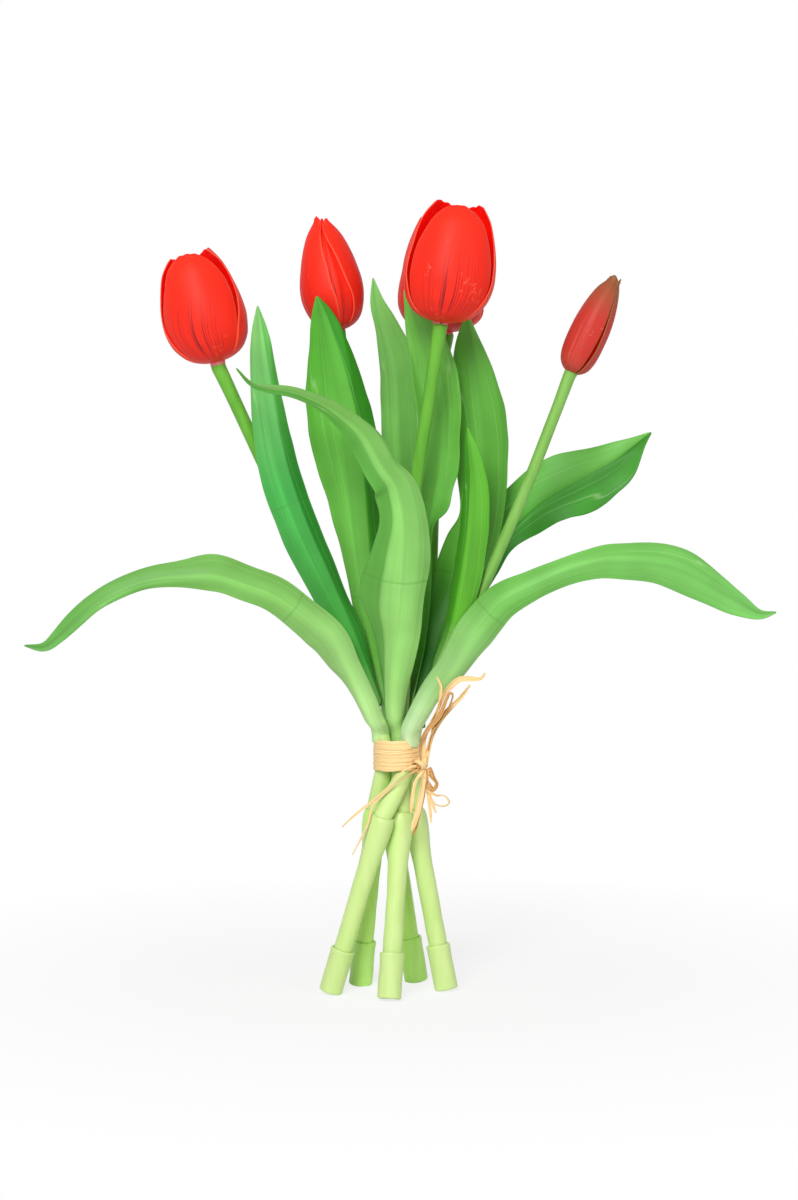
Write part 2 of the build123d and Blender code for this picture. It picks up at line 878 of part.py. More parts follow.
def make_ends(name, routes, section):
    strips = []
    for route in routes:
        first = Vector(*route[0]).normalized() * (knot_radius + end_gap)
        offsets = [first] + [Vector(*point) for point in route[1:]]
        points = [knot_place() + offset for offset in offsets]
        with BuildLine() as core:
            FilletPolyline(points, radius=bend_radii(points))
        with BuildPart() as strip:
            with BuildSketch(Plane(origin=points[0], z_dir=points[1] - points[0])):
                section()
            sweep(path=core.wire())
        strips.append(strip.part)
    with BuildPart() as ends:
        add(strips)
    save(ends, name)


def ribbon():
    Rectangle(ribbon_width, ribbon_thickness)


def thread():
    Circle(thread_radius)


# The bunch

os.makedirs("parts", exist_ok=True)
for tulip_name, tulip in tulips.items():
    make_foot(tulip_name, tulip)
    make_lower_stem(tulip_name, tulip)
    make_stalk(tulip_name, tulip)
    make_flower_stem(tulip_name, tulip)
    make_stem_wire(tulip_name, tulip)
    make_receptacle(tulip_name, tulip)
    make_petals(f"{tulip_name}_outer_petals", tulip, outer_shells, outer_turns, outer_spread)
    if tulip_name == bud:
        make_bud_core(f"{tulip_name}_bud_core", tulip)
    else:
        make_petals(f"{tulip_name}_inner_petals", tulip, inner_shells, inner_turns, inner_spread)
    if tulip_name in open_blooms:
        make_pistil(tulip_name, tulip)
for leaf_name, leaf in leaves.items():
    make_leaf(leaf_name, leaf)
make_tie()
make_knot()
make_ends("raffia_bow", bow_routes, ribbon)
make_ends("raffia_tails", tail_routes, ribbon)
make_ends("raffia_threads", thread_routes, thread)
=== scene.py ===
import json
import math

import bpy
from mathutils import Matrix, Vector, noise


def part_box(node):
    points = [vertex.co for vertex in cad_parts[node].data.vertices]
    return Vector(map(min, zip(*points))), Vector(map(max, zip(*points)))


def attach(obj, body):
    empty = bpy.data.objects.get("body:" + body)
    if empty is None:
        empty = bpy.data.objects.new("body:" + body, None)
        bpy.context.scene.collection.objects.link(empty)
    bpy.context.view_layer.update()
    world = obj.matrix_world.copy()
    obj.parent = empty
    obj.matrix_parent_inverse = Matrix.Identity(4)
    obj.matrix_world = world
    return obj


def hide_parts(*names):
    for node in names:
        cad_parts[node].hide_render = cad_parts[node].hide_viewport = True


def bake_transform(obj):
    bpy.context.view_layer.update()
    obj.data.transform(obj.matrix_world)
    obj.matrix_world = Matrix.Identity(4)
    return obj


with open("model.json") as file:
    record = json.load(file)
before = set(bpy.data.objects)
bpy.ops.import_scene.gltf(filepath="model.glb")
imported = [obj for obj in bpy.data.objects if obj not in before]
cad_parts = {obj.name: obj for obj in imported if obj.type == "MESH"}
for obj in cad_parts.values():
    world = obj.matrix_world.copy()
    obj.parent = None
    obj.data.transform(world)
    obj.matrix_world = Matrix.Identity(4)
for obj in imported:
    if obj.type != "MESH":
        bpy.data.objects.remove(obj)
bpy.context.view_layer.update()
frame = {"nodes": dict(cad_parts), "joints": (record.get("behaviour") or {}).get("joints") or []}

# A hand-tied bunch of five artificial tulips on its own feet. Lengths are in millimetres up to
# the point where vertices are placed, in metres. +Z is up and the viewer stands on the -Y side.

MM = 0.001
FRONT = Vector((0, -1, 0))
UP = Vector((0, 0, 1))

# The camera of the reference view
CAMERA_RISE = math.radians(5)
CAMERA_DISTANCE = 1600.0
CAMERA_LENS = 96.0
LOOK_HEIGHT = 199.0
FRAME_DROP = 1.5  # the picture's middle lies that much under the look-at point

# Heights, feet, legs and stalks
TIE_HEIGHT = 120.0
TIE_HALF = 6.3  # the stalks run straight for that much over and under the tie's middle
NODE_HEIGHT = 91.0
FOOT_RADIUS = 6.0
REST_CUT = 0.6  # how deep the flat under a foot is
LEG_RADIUS = 4.9
STALK_STEP = 7.7  # from the middle of the tie to an outer stalk
PLUG_DEPTH = 4.0  # how far a stalk reaches down into its collar
PALE_LEGS = ("front", "right", "rear")
UNEVEN_BUMPS = 90  # in a metre of a moulded round piece

# Flower stems and the wires inside them
STEM_LEAD = 2.0  # straight end of a stem under its bloom
STEM_RIBS = 7
STEM_RIB_DEPTH = 0.012  # of the radius
STEM_BUMPS = 60  # in a metre
STEM_BUMP_DEPTH = 0.03  # of the radius
WIRE_RADIUS = 0.9
WIRE_START = 7.0  # over the stalk's mouth
WIRE_PEG = 5.8  # inside the bloom

# Each tulip: foot on the floor, node at the collar, angle of its stalk round the tie's middle, the
# flower stem's route over the tie, its radius, the bloom's greatest radius and height, its form,
# its set of petals, how far that set is turned, and how far aside of its stem the bloom swells.
tulips = {
    "left": {
        "foot": (-19.7, 12.0),
        "node": (-11.5, 4.5),
        "waist": 187.6,
        "route": [(-26.5, 13.0, 58.0), (-46.8, 16.0, 98.0), (-66.8, 17.0, 142.0),
                  (-85.2, 17.0, 182.0)],
        "stem_radius": 3.4,
        "bloom": (21.2, 58.8),
        "form": "open",
        "petals": "left",
        "turn": 0.0,
        "aside": -1.0,
    },
    "rear_left": {
        "foot": (9.0, 20.0),
        "node": (-5.0, 13.5),
        "waist": 101.5,
        "route": [(-12.0, 20.0, 70.0), (-20.0, 25.0, 130.0)],
        "stem_radius": 3.2,
        "bloom": (15.4, 58.0),
        "form": "half_open",
        "petals": "rear_left",
        "turn": 0.0,
        "aside": -0.6,
    },
    "front": {
        "foot": (-5.0, -28.0),
        "node": (1.2, -6.0),
        "waist": None,
        "route": [(3.5, -4.5, 80.0), (7.9, -8.0, 133.0), (13.5, -11.5, 170.0)],
        "stem_radius": 3.25,
        "bloom": (22.5, 61.0),
        "form": "open",
        "petals": "front",
        "turn": 0.0,
        "aside": 1.2,
    },
    "rear": {
        "foot": (24.0, -3.0),
        "node": (7.0, 4.5),
        "waist": 19.1,
        "route": [(15.5, 23.0, 75.0), (17.5, 33.0, 125.0), (19.5, 35.0, 180.0)],
        "stem_radius": 3.2,
        "bloom": (20.2, 60.0),
        "form": "full",
        "petals": "front",
        "turn": 30.0,
        "aside": -2.2,
    },
    "right": {
        "foot": (-34.8, -11.0),
        "node": (-8.0, -16.0),
        "waist": -63.4,
        "route": [(36.6, -10.0, 73.0), (61.2, -9.5, 130.0), (76.5, -8.6, 169.0)],
        "stem_radius": 2.9,
        "bloom": (9.8, 52.5),
        "form": "bud",
        "petals": "right",
        "turn": 0.0,
        "aside": 0.0,
    },
}

# Radius of a bloom by height, both as shares
bloom_forms = {
    "open": [(0.0, 0.17), (0.02, 0.42), (0.07, 0.66), (0.13, 0.81), (0.2, 0.92), (0.33, 1.0),
             (0.43, 1.0), (0.54, 0.965), (0.67, 0.89), (0.79, 0.8), (0.88, 0.71), (0.97, 0.565),
             (1.0, 0.5)],
    "full": [(0.0, 0.2), (0.03, 0.58), (0.1, 0.92), (0.2, 1.06), (0.33, 1.07), (0.43, 1.02),
             (0.54, 0.93), (0.67, 0.84), (0.79, 0.72), (0.88, 0.6), (0.97, 0.45), (1.0, 0.4)],
    "half_open": [(0.0, 0.22), (0.04, 0.58), (0.14, 0.84), (0.28, 0.99), (0.41, 1.0), (0.55, 0.905),
                  (0.69, 0.76), (0.84, 0.53), (0.94, 0.28), (1.0, 0.1)],
    "bud": [(0.0, 0.36), (0.05, 0.7), (0.12, 0.88), (0.22, 0.97), (0.35, 1.0), (0.5, 0.98),
            (0.65, 0.88), (0.8, 0.69), (0.9, 0.5), (0.97, 0.3), (1.0, 0.1)],
}

# Petals of each bloom. edges holds height share and the angles of both edges, counted from the
# viewer towards the right. inset is how far inside the bloom's wall a petal lies, drop how much
# shorter it is, flare how far each edge stands out, round how far its top corners fall, as a share
# of the height, and ripple how deep its lengthwise folds are, if it has any.
hidden_petals = [
    {"edges": [(0.0, turn - 55, turn + 55), (0.6, turn - 55, turn + 55),
               (0.9, turn - 40, turn + 40), (1.0, turn - 15, turn + 15)],
     "inset": inset, "drop": 9.0, "flare": (0.2, 0.2), "round": 0.04}
    for turn, inset in ((60, 2.1), (180, 2.4), (-60, 2.8))
]
petals = {
    "left": {
        "outer": [
            {"edges": [(0.0, -75, 55), (0.25, -76, 52), (0.44, -75, 58), (0.68, -63, 62),
                       (0.85, -57, 52), (0.95, -53, 45), (1.0, -42, 33)],
             "inset": 0.9, "drop": 2.6, "flare": (0.4, 0.3), "round": 0.025},
            {"edges": [(0.0, 48, 185), (0.25, 50, 185), (0.44, 61, 184), (0.6, 71, 182),
                       (0.75, 76, 178), (0.88, 72, 172), (0.96, 65, 165), (1.0, 62, 140)],
             "inset": 0.0, "drop": 1.6, "flare": (0.5, 0.2), "round": 0.02},
            {"edges": [(0.0, -188, -60), (0.25, -190, -65), (0.44, -188, -74), (0.6, -186, -76),
                       (0.75, -182, -77), (0.88, -176, -78), (0.96, -165, -82), (1.0, -150, -95)],
             "inset": 0.2, "drop": 3.0, "flare": (0.2, 0.5), "round": 0.02},
        ],
        "inner": hidden_petals,
    },
    "front": {
        "outer": [
            {"edges": [(0.0, -60, 60), (0.2, -63, 63), (0.46, -65, 65), (0.62, -65, 64),
                       (0.78, -56, 58), (0.9, -50, 53), (0.97, -44, 47), (1.0, -33, 36)],
             "inset": 0.9, "drop": 2.8, "flare": (0.3, 0.3), "round": 0.03},
            {"edges": [(0.0, 58, 185), (0.2, 60, 186), (0.4, 66, 186), (0.62, 71, 184),
                       (0.78, 76, 178), (0.9, 77, 174), (0.97, 77, 165), (1.0, 80, 145)],
             "inset": 0.2, "drop": 1.4, "flare": (0.6, 0.2), "round": 0.015},
            {"edges": [(0.0, -188, -58), (0.2, -188, -62), (0.4, -186, -68), (0.62, -184, -70),
                       (0.78, -180, -79), (0.9, -174, -80), (0.97, -165, -78), (1.0, -150, -80)],
             "inset": 0.0, "drop": 1.0, "flare": (0.2, 0.6), "round": 0.015},
        ],
        "inner": hidden_petals,
    },
    "rear_left": {
        "outer": [
            {"edges": [(0.0, -150, 12), (0.14, -150, 11), (0.28, -150, 9), (0.41, -150, 3),
                       (0.55, -148, 0), (0.69, -145, -6), (0.84, -140, -9), (0.94, -125, -8),
                       (1.0, -80, -8)],
             "inset": -0.5, "drop": 0.0, "flare": (0.0, 0.3), "round": 0.04},
            {"edges": [(0.0, 40, 150), (0.14, 42, 150), (0.28, 38, 150), (0.41, 30, 150),
                       (0.55, 24, 148), (0.69, 17, 145), (0.84, 5, 140), (0.94, 1, 120),
                       (1.0, 5, 70)],
             "inset": -0.8, "drop": 1.6, "flare": (1.0, 0.0), "round": 0.04},
            {"edges": [(0.0, 135, 228), (0.6, 135, 228), (0.9, 145, 215), (1.0, 165, 195)],
             "inset": 0.5, "drop": 1.0, "flare": (0.0, 0.0), "round": 0.04},
        ],
        "inner": [
            {"edges": [(0.0, -40, 66), (0.5, -40, 62), (0.85, -28, 40), (1.0, -10, 20)],
             "inset": 0.6, "drop": 4.0, "flare": (0.0, 0.0), "ripple": 0.45, "round": 0.04},
            {"edges": [(0.0, 70, 180), (0.6, 70, 180), (0.9, 90, 160), (1.0, 115, 135)],
             "inset": 1.9, "drop": 5.0, "flare": (0.0, 0.0), "round": 0.04},
            {"edges": [(0.0, 185, 310), (0.6, 185, 310), (0.9, 205, 290), (1.0, 235, 260)],
             "inset": 2.1, "drop": 5.0, "flare": (0.0, 0.0), "round": 0.04},
        ],
    },
    "right": {
        "outer": [
            {"edges": [(0.0, -80, 26), (0.1, -84, 26), (0.3, -85, 28), (0.5, -85, 31),
                       (0.75, -80, 32), (0.9, -70, 34), (0.97, -60, 36), (1.0, -45, 32)],
             "inset": 0.0, "drop": 0.0, "flare": (0.1, 0.4), "round": 0.04},
            {"edges": [(0.0, 34, 145), (0.1, 37, 145), (0.3, 42, 145), (0.5, 41, 145),
                       (0.75, 37, 140), (0.9, 37, 130), (0.97, 40, 112), (1.0, 50, 90)],
             "inset": 0.3, "drop": 0.6, "flare": (0.5, 0.0), "round": 0.04},
            {"edges": [(0.0, 138, 284), (0.5, 138, 282), (0.9, 150, 270), (1.0, 190, 230)],
             "inset": 0.5, "drop": 1.0, "flare": (0.0, 0.0), "round": 0.04},
        ],
        "inner": [],
    },
}
PETAL_THICKNESS = 0.7
PETAL_LIFT = 0.8  # of a petal's foot over the stem's end
NECK_ROOM = 1.2  # least radius of a petal, in stem radii
PETAL_FOLDS = 3.5  # half waves of a rippled petal's folds, from its middle to its edge
PETAL_TOP = 0.8  # share of the height over which the top edge begins to round

# Each leaf: the side of the stalk that it clasps, the route of its back rib over the tie, the side
# that its hollow face turns to, its half breadth on either side of the rib, how hollow it is, its
# lengthwise creases (millimetres from the rib, angle, and the shares of the length that it runs
# between), how it twists if it does, the depth and number of its edge waves, where its mould seam
# is, the painted shade on any of its planes across that turn from the light, and its greens from
# base to tip.
leaves = {
    "left_arch_leaf": {
        "side": (-0.8, -0.6),
        "route": [(-15.5, -5.6, 16.0), (-20.9, -8.0, 30.0), (-27.4, -10.0, 45.3),
                  (-35.0, -12.5, 60.5), (-49.0, -16.0, 73.0), (-62.0, -18.0, 82.3),
                  (-76.0, -19.5, 87.8), (-90.5, -21.0, 92.5), (-105.0, -21.5, 92.3),
                  (-121.0, -22.0, 90.6), (-134.0, -22.5, 86.8), (-149.0, -23.0, 79.0),
                  (-160.0, -23.0, 69.7), (-168.5, -23.0, 61.8), (-175.5, -23.0, 56.6),
                  (-185.0, -23.0, 57.2)],
        "hollow": (0.0, 0.95, -0.3),
        "halves": [(0.0, 10.4, 10.4), (0.06, 10.4, 10.4), (0.12, 10.4, 9.8), (0.19, 11.4, 8.8),
                   (0.28, 12.4, 10.0), (0.363, 10.8, 10.4), (0.43, 10.0, 10.8), (0.494, 10.0, 11.0),
                   (0.558, 10.0, 11.8), (0.619, 7.0, 8.6), (0.687, 5.4, 7.2), (0.744, 5.2, 7.0),
                   (0.815, 5.0, 6.4), (0.876, 4.8, 5.8), (0.924, 3.9, 3.7), (0.958, 3.0, 2.6),
                   (1.0, 0.4, 0.4)],
        "cup": 24.0,
        "creases": [(-3.5, 26.0, 0.2, 1.0), (3.0, 12.0, 0.2, 1.0)],
        "twist": [(0.0, 0.0), (0.5, 0.0), (0.85, 8.0), (1.0, 30.0)],
        "wave": 0.7,
        "waves": 3.2,
        "seam": 0.36,
        "greens": ("#BCE496", "#9ED27A", "#84C460", "#60A648"),
    },
    "left_tall_leaf": {
        "side": (0.5, -0.87),
        "route": [(-10.0, -1.5, 24.0), (-20.0, 1.0, 48.0), (-36.5, 2.0, 83.0), (-51.0, 3.0, 115.0),
                  (-62.0, 4.0, 150.0), (-68.0, 5.0, 190.0), (-70.5, 6.0, 224.0)],
        "hollow": (0.3, 1.0, 0.0),
        "halves": [(0.0, 7.0, 7.0), (0.12, 6.0, 6.0), (0.22, 8.2, 8.2), (0.31, 10.0, 10.3),
                   (0.44, 12.0, 12.8), (0.55, 12.8, 12.8), (0.71, 11.0, 12.0), (0.88, 7.2, 7.5),
                   (0.95, 4.0, 4.2), (1.0, 0.4, 0.4)],
        "cup": 16.0,
        "creases": [(-3.8, 12.0, 0.2, 1.0), (4.8, 52.0, 0.2, 1.0)],
        "wave": 0.5,
        "waves": 2.4,
        "seam": 0.55,
        # painted shade on the planes across that turn from the light
        "painted_shade_planes": [(0.68, "#FFFFFF"), (0.72, "#B8DCB0")],
        "greens": ("#9CD07A", "#4BA840", "#46AC4C", "#86CC72"),
    },
    "rear_left_broad_leaf": {
        "side": (-0.8, -0.6),
        "route": [(-14.0, 8.5, 52.0), (-20.5, 8.0, 92.0), (-24.5, 7.0, 127.0),
                  (-28.5, 7.0, 162.0), (-34.0, 8.0, 197.0), (-41.0, 9.0, 229.0)],
        "hollow": (0.1, 1.0, 0.0),
        "halves": [(0.0, 8.6, 8.6), (0.15, 8.0, 8.0), (0.3, 7.0, 13.0), (0.41, 8.6, 18.0),
                   (0.55, 14.4, 20.5), (0.68, 19.6, 22.0), (0.8, 17.0, 17.2), (0.92, 8.5, 9.0),
                   (0.97, 4.0, 4.6), (1.0, 0.4, 0.4)],
        "cup": 18.0,
        "creases": [(-1.7, 14.0, 0.2, 1.0), (8.5, 44.0, 0.2, 1.0)],
        "wave": 0.5,
        "waves": 1.6,
        "seam": 0.3,
        # painted shade on the planes across that turn from the light
        "painted_shade_planes": [(0.68, "#FFFFFF"), (0.71, "#98CE88")],
        "greens": ("#9CD07A", "#6CB846", "#72C04E", "#4FA82C"),
    },
    "rear_left_slim_leaf": {
        "side": (0.8, 0.6),
        "route": [(3.0, 19.5, 60.0), (4.0, 22.0, 107.0), (0.0, 20.0, 147.0), (-1.0, 18.0, 176.0),
                  (-2.5, 17.0, 194.0), (-7.0, 16.5, 210.0), (-11.5, 16.5, 224.0),
                  (-13.0, 16.5, 238.0)],
        "hollow": (0.1, 1.0, 0.0),
        "halves": [(0.0, 8.6, 8.6), (0.15, 8.0, 8.0), (0.3, 9.0, 9.0), (0.5, 11.6, 11.0),
                   (0.65, 12.8, 12.2), (0.8, 11.4, 12.8), (0.9, 5.2, 8.4), (0.96, 2.4, 3.6),
                   (1.0, 0.4, 0.4)],
        "cup": 14.0,
        "creases": [(-0.7, 36.0, 0.2, 1.0), (0.7, 26.0, 0.2, 1.0)],
        "wave": 0.5,
        "waves": 2.2,
        "seam": 0.3,
        "greens": ("#9CD07A", "#4F9F34", "#72BA50", "#80C462"),
    },
    "front_arch_leaf": {
        "side": (-0.5, -0.87),
        "route": [(-4.0, -8.0, 18.0), (-4.4, -12.0, 29.0), (-3.4, -17.5, 45.0), (-1.2, -22.0, 61.0),
                  (0.8, -27.0, 79.0), (2.2, -31.5, 95.0), (3.0, -37.0, 116.0),
                  (-0.5, -41.0, 136.0), (-7.8, -43.5, 147.0), (-16.8, -45.5, 162.5),
                  (-29.6, -48.0, 173.2), (-41.2, -49.5, 179.5), (-52.3, -50.5, 183.2),
                  (-63.2, -51.5, 184.8), (-70.9, -52.0, 186.8), (-78.0, -53.0, 194.3)],
        "hollow": (-0.1, 0.75, -0.65),
        "halves": [(0.0, 10.6, 10.6), (0.055, 10.4, 10.4), (0.12, 9.6, 10.2), (0.187, 11.2, 11.4),
                   (0.255, 17.0, 12.6), (0.3, 23.5, 12.8), (0.345, 25.0, 13.4), (0.39, 23.0, 15.4),
                   (0.43, 20.0, 15.2), (0.48, 15.6, 14.4), (0.52, 12.6, 13.8), (0.58, 12.6, 13.6),
                   (0.63, 10.8, 10.8), (0.69, 10.6, 10.8), (0.76, 8.4, 8.8), (0.81, 6.0, 6.4),
                   (0.86, 5.0, 5.6), (0.9, 4.5, 5.0), (0.935, 3.2, 3.4), (1.0, 0.4, 0.4)],
        "cup": 20.0,
        "creases": [(-8.5, 22.0, 0.18, 0.6), (-8.5, 16.0, 0.3, 0.6), (7.0, 24.0, 0.2, 0.95)],
        "twist": [(0.0, 0.0), (0.6, 0.0), (0.8, 14.0), (1.0, 40.0)],
        "wave": 0.7,
        "waves": 3.0,
        "seam": 0.365,
        # painted shade on the flap that turns from the light
        "painted_shade_planes": [(0.27, "#B4D2AC"), (0.31, "#FFFFFF")],
        "greens": ("#B0DE88", "#94CE6E", "#8ED06A", "#70B850"),
    },
    "front_tall_leaf": {
        "side": (0.2, 0.98),
        "route": [(8.0, 7.0, 62.0), (14.5, 7.5, 112.0), (19.0, 8.0, 142.0), (19.5, 9.0, 172.0),
                  (13.0, 10.0, 202.0), (2.5, 11.0, 232.0)],
        "hollow": (0.0, -1.0, 0.0),
        "halves": [(0.0, 8.6, 8.6), (0.15, 7.5, 7.5), (0.3, 6.0, 7.5), (0.42, 2.8, 10.0),
                   (0.46, 3.2, 12.0), (0.48, 7.2, 12.2), (0.5, 9.4, 12.0), (0.545, 9.6, 12.0),
                   (0.58, 11.6, 12.0), (0.665, 11.6, 13.0), (0.745, 13.2, 12.4),
                   (0.815, 13.6, 11.0), (0.88, 12.0, 8.0), (0.94, 6.6, 4.6), (1.0, 0.4, 0.4)],
        "cup": 16.0,
        "creases": [(-0.7, 10.0, 0.2, 1.0), (0.6, 10.0, 0.2, 1.0), (7.5, 20.0, 0.2, 1.0)],
        "wave": 1.3,
        "waves": 4.2,
        "seam": 0.3,
        "greens": ("#9CD07A", "#57AD30", "#64B440", "#66AE44"),
    },
    "rear_tall_leaf": {
        "side": (0.7, -0.7),
        "route": [(20.0, 5.5, 48.0), (31.5, 11.0, 81.0), (41.0, 14.0, 116.0),
                  (43.0, 15.0, 152.0), (40.5, 16.0, 182.0), (34.0, 17.0, 221.0)],
        "hollow": (0.0, 1.0, 0.0),
        "halves": [(0.0, 8.6, 8.6), (0.15, 8.0, 8.0), (0.21, 9.5, 8.5), (0.3, 15.0, 10.0),
                   (0.37, 17.5, 11.5), (0.45, 15.6, 12.0), (0.5, 12.2, 12.5), (0.54, 12.2, 12.8),
                   (0.62, 14.5, 13.4), (0.74, 15.0, 13.6), (0.8, 14.6, 11.6), (0.87, 12.8, 8.0),
                   (0.93, 8.8, 4.4), (1.0, 0.4, 0.4)],
        "cup": 20.0,
        "creases": [(-0.7, 8.0, 0.2, 1.0), (0.6, 8.0, 0.2, 1.0), (8.7, 14.0, 0.2, 1.0)],
        "wave": 0.7,
        "waves": 3.4,
        "seam": 0.36,
        "greens": ("#6FB255", "#2A7A1C", "#5CAC36", "#62AC40"),
    },
    "rear_side_leaf": {
        "side": (0.8, 0.6),
        "route": [(22.0, 18.0, 40.0), (36.0, 25.0, 70.0), (51.0, 29.0, 102.0),
                  (69.0, 31.0, 122.0), (89.0, 31.0, 135.0), (109.0, 30.0, 146.0),
                  (128.0, 29.0, 160.0)],
        "hollow": (-0.35, -0.75, 0.55),
        "halves": [(0.0, 8.6, 8.6), (0.15, 8.5, 8.5), (0.3, 5.0, 11.0), (0.38, 4.6, 14.0),
                   (0.45, 5.2, 15.8), (0.58, 9.6, 17.6), (0.7, 15.4, 19.2), (0.8, 18.0, 15.6),
                   (0.88, 15.0, 10.0), (0.95, 6.4, 4.8), (1.0, 0.4, 0.4)],
        "cup": 8.0,
        "creases": [(-1.5, -35.0, 0.3, 1.0), (1.4, 10.0, 0.2, 1.0)],
        "wave": 1.0,
        "waves": 6.0,
        "seam": 0.42,
        # painted shade on the lower half, which faces down from the light
        "painted_shade_planes": [(0.46, "#94C686"), (0.5, "#FFFFFF")],
        "greens": ("#6FB255", "#2A8A14", "#58B03A", "#74C056"),
    },
    "right_arch_leaf": {
        "side": (0.6, -0.8),
        "route": [(9.6, -12.8, 15.0), (17.2, -15.0, 30.4), (27.4, -18.5, 46.3), (36.4, -22.0, 62.0),
                  (49.7, -24.5, 77.7), (65.0, -25.0, 86.2), (79.8, -25.0, 92.9),
                  (93.6, -24.5, 97.0), (104.4, -24.0, 98.5), (122.7, -23.5, 97.8),
                  (135.5, -23.0, 95.3), (149.0, -22.5, 89.0), (165.6, -21.5, 79.4),
                  (177.5, -21.0, 72.8), (186.5, -20.0, 73.4)],
        "hollow": (0.0, 0.95, -0.3),
        "halves": [(0.0, 10.4, 10.4), (0.06, 10.2, 10.2), (0.13, 9.6, 9.6), (0.215, 8.8, 9.4),
                   (0.294, 11.0, 11.0), (0.383, 11.0, 9.2), (0.456, 9.0, 7.5), (0.525, 8.0, 7.3),
                   (0.586, 9.2, 8.5), (0.633, 11.0, 9.4), (0.71, 12.8, 10.2), (0.764, 13.4, 11.0),
                   (0.827, 11.0, 10.2), (0.907, 6.4, 7.4), (0.962, 2.6, 3.4), (1.0, 0.4, 0.4)],
        "cup": 20.0,
        "creases": [(-3.0, 12.0, 0.2, 1.0), (3.5, 22.0, 0.2, 1.0)],
        "twist": [(0.0, 0.0), (0.8, 0.0), (1.0, -20.0)],
        "wave": 0.7,
        "waves": 2.6,
        "seam": 0.34,
        "greens": ("#D0EEB6", "#A4D984", "#72BE52", "#76C05E"),
    },
    "right_slim_leaf": {
        "side": (-0.95, -0.3),
        "route": [(24.5, -14.5, 56.0), (31.5, -16.0, 83.0), (36.0, -15.0, 112.0),
                  (37.0, -14.0, 138.0), (33.5, -13.0, 164.0)],
        "hollow": (0.3, 0.95, 0.0),
        "halves": [(0.0, 7.0, 7.0), (0.2, 6.8, 6.8), (0.4, 8.0, 8.0), (0.6, 8.8, 8.8),
                   (0.75, 8.0, 8.0), (0.88, 5.0, 5.5), (0.95, 2.6, 3.0), (1.0, 0.4, 0.4)],
        "cup": 46.0,
        "creases": [],
        "wave": 0.4,
        "waves": 1.5,
        "seam": 0.3,
        # painted shade on the planes across that turn from the light
        "painted_shade_planes": [(0.3, "#B4D2AC"), (0.36, "#FFFFFF")],
        "greens": ("#C8EAA8", "#B0DE84", "#5CAE28", "#5CAE30"),
    },
}
LEAF_THICKNESS = 0.8
UNTWISTED = [(0.0, 0.0), (1.0, 0.0)]
LEAF_TUCK = 6.0  # how far a leaf's base reaches down under the tie
TUCK_INSET = 1.5  # how far it lies towards the stalk there
START_INSET = 1.0  # and where it leaves the tie
CLASP_WRAP = 125.0  # half angle that an arching leaf's base takes round its stalk
SLIM_WRAP = 95.0  # the same of a tall leaf
CLASP_BREADTH = 10.0  # an arching leaf's base has a half breadth over this
CLASP_END = 0.3  # share of the leaf over which its clasp opens
TURN_END = 0.35  # share of the leaf over which its hollow face turns from the stalk
BEND_END = 0.25  # share of the leaf that gives way when it bends
CREASE_WIDTH = 1.5
CREASE_RUN = 0.12  # share of the leaf over which a crease begins or ends
EDGE_NICKS = 0.05  # unevenness of the breadth, as a share
LEAF_COLUMNS = 28

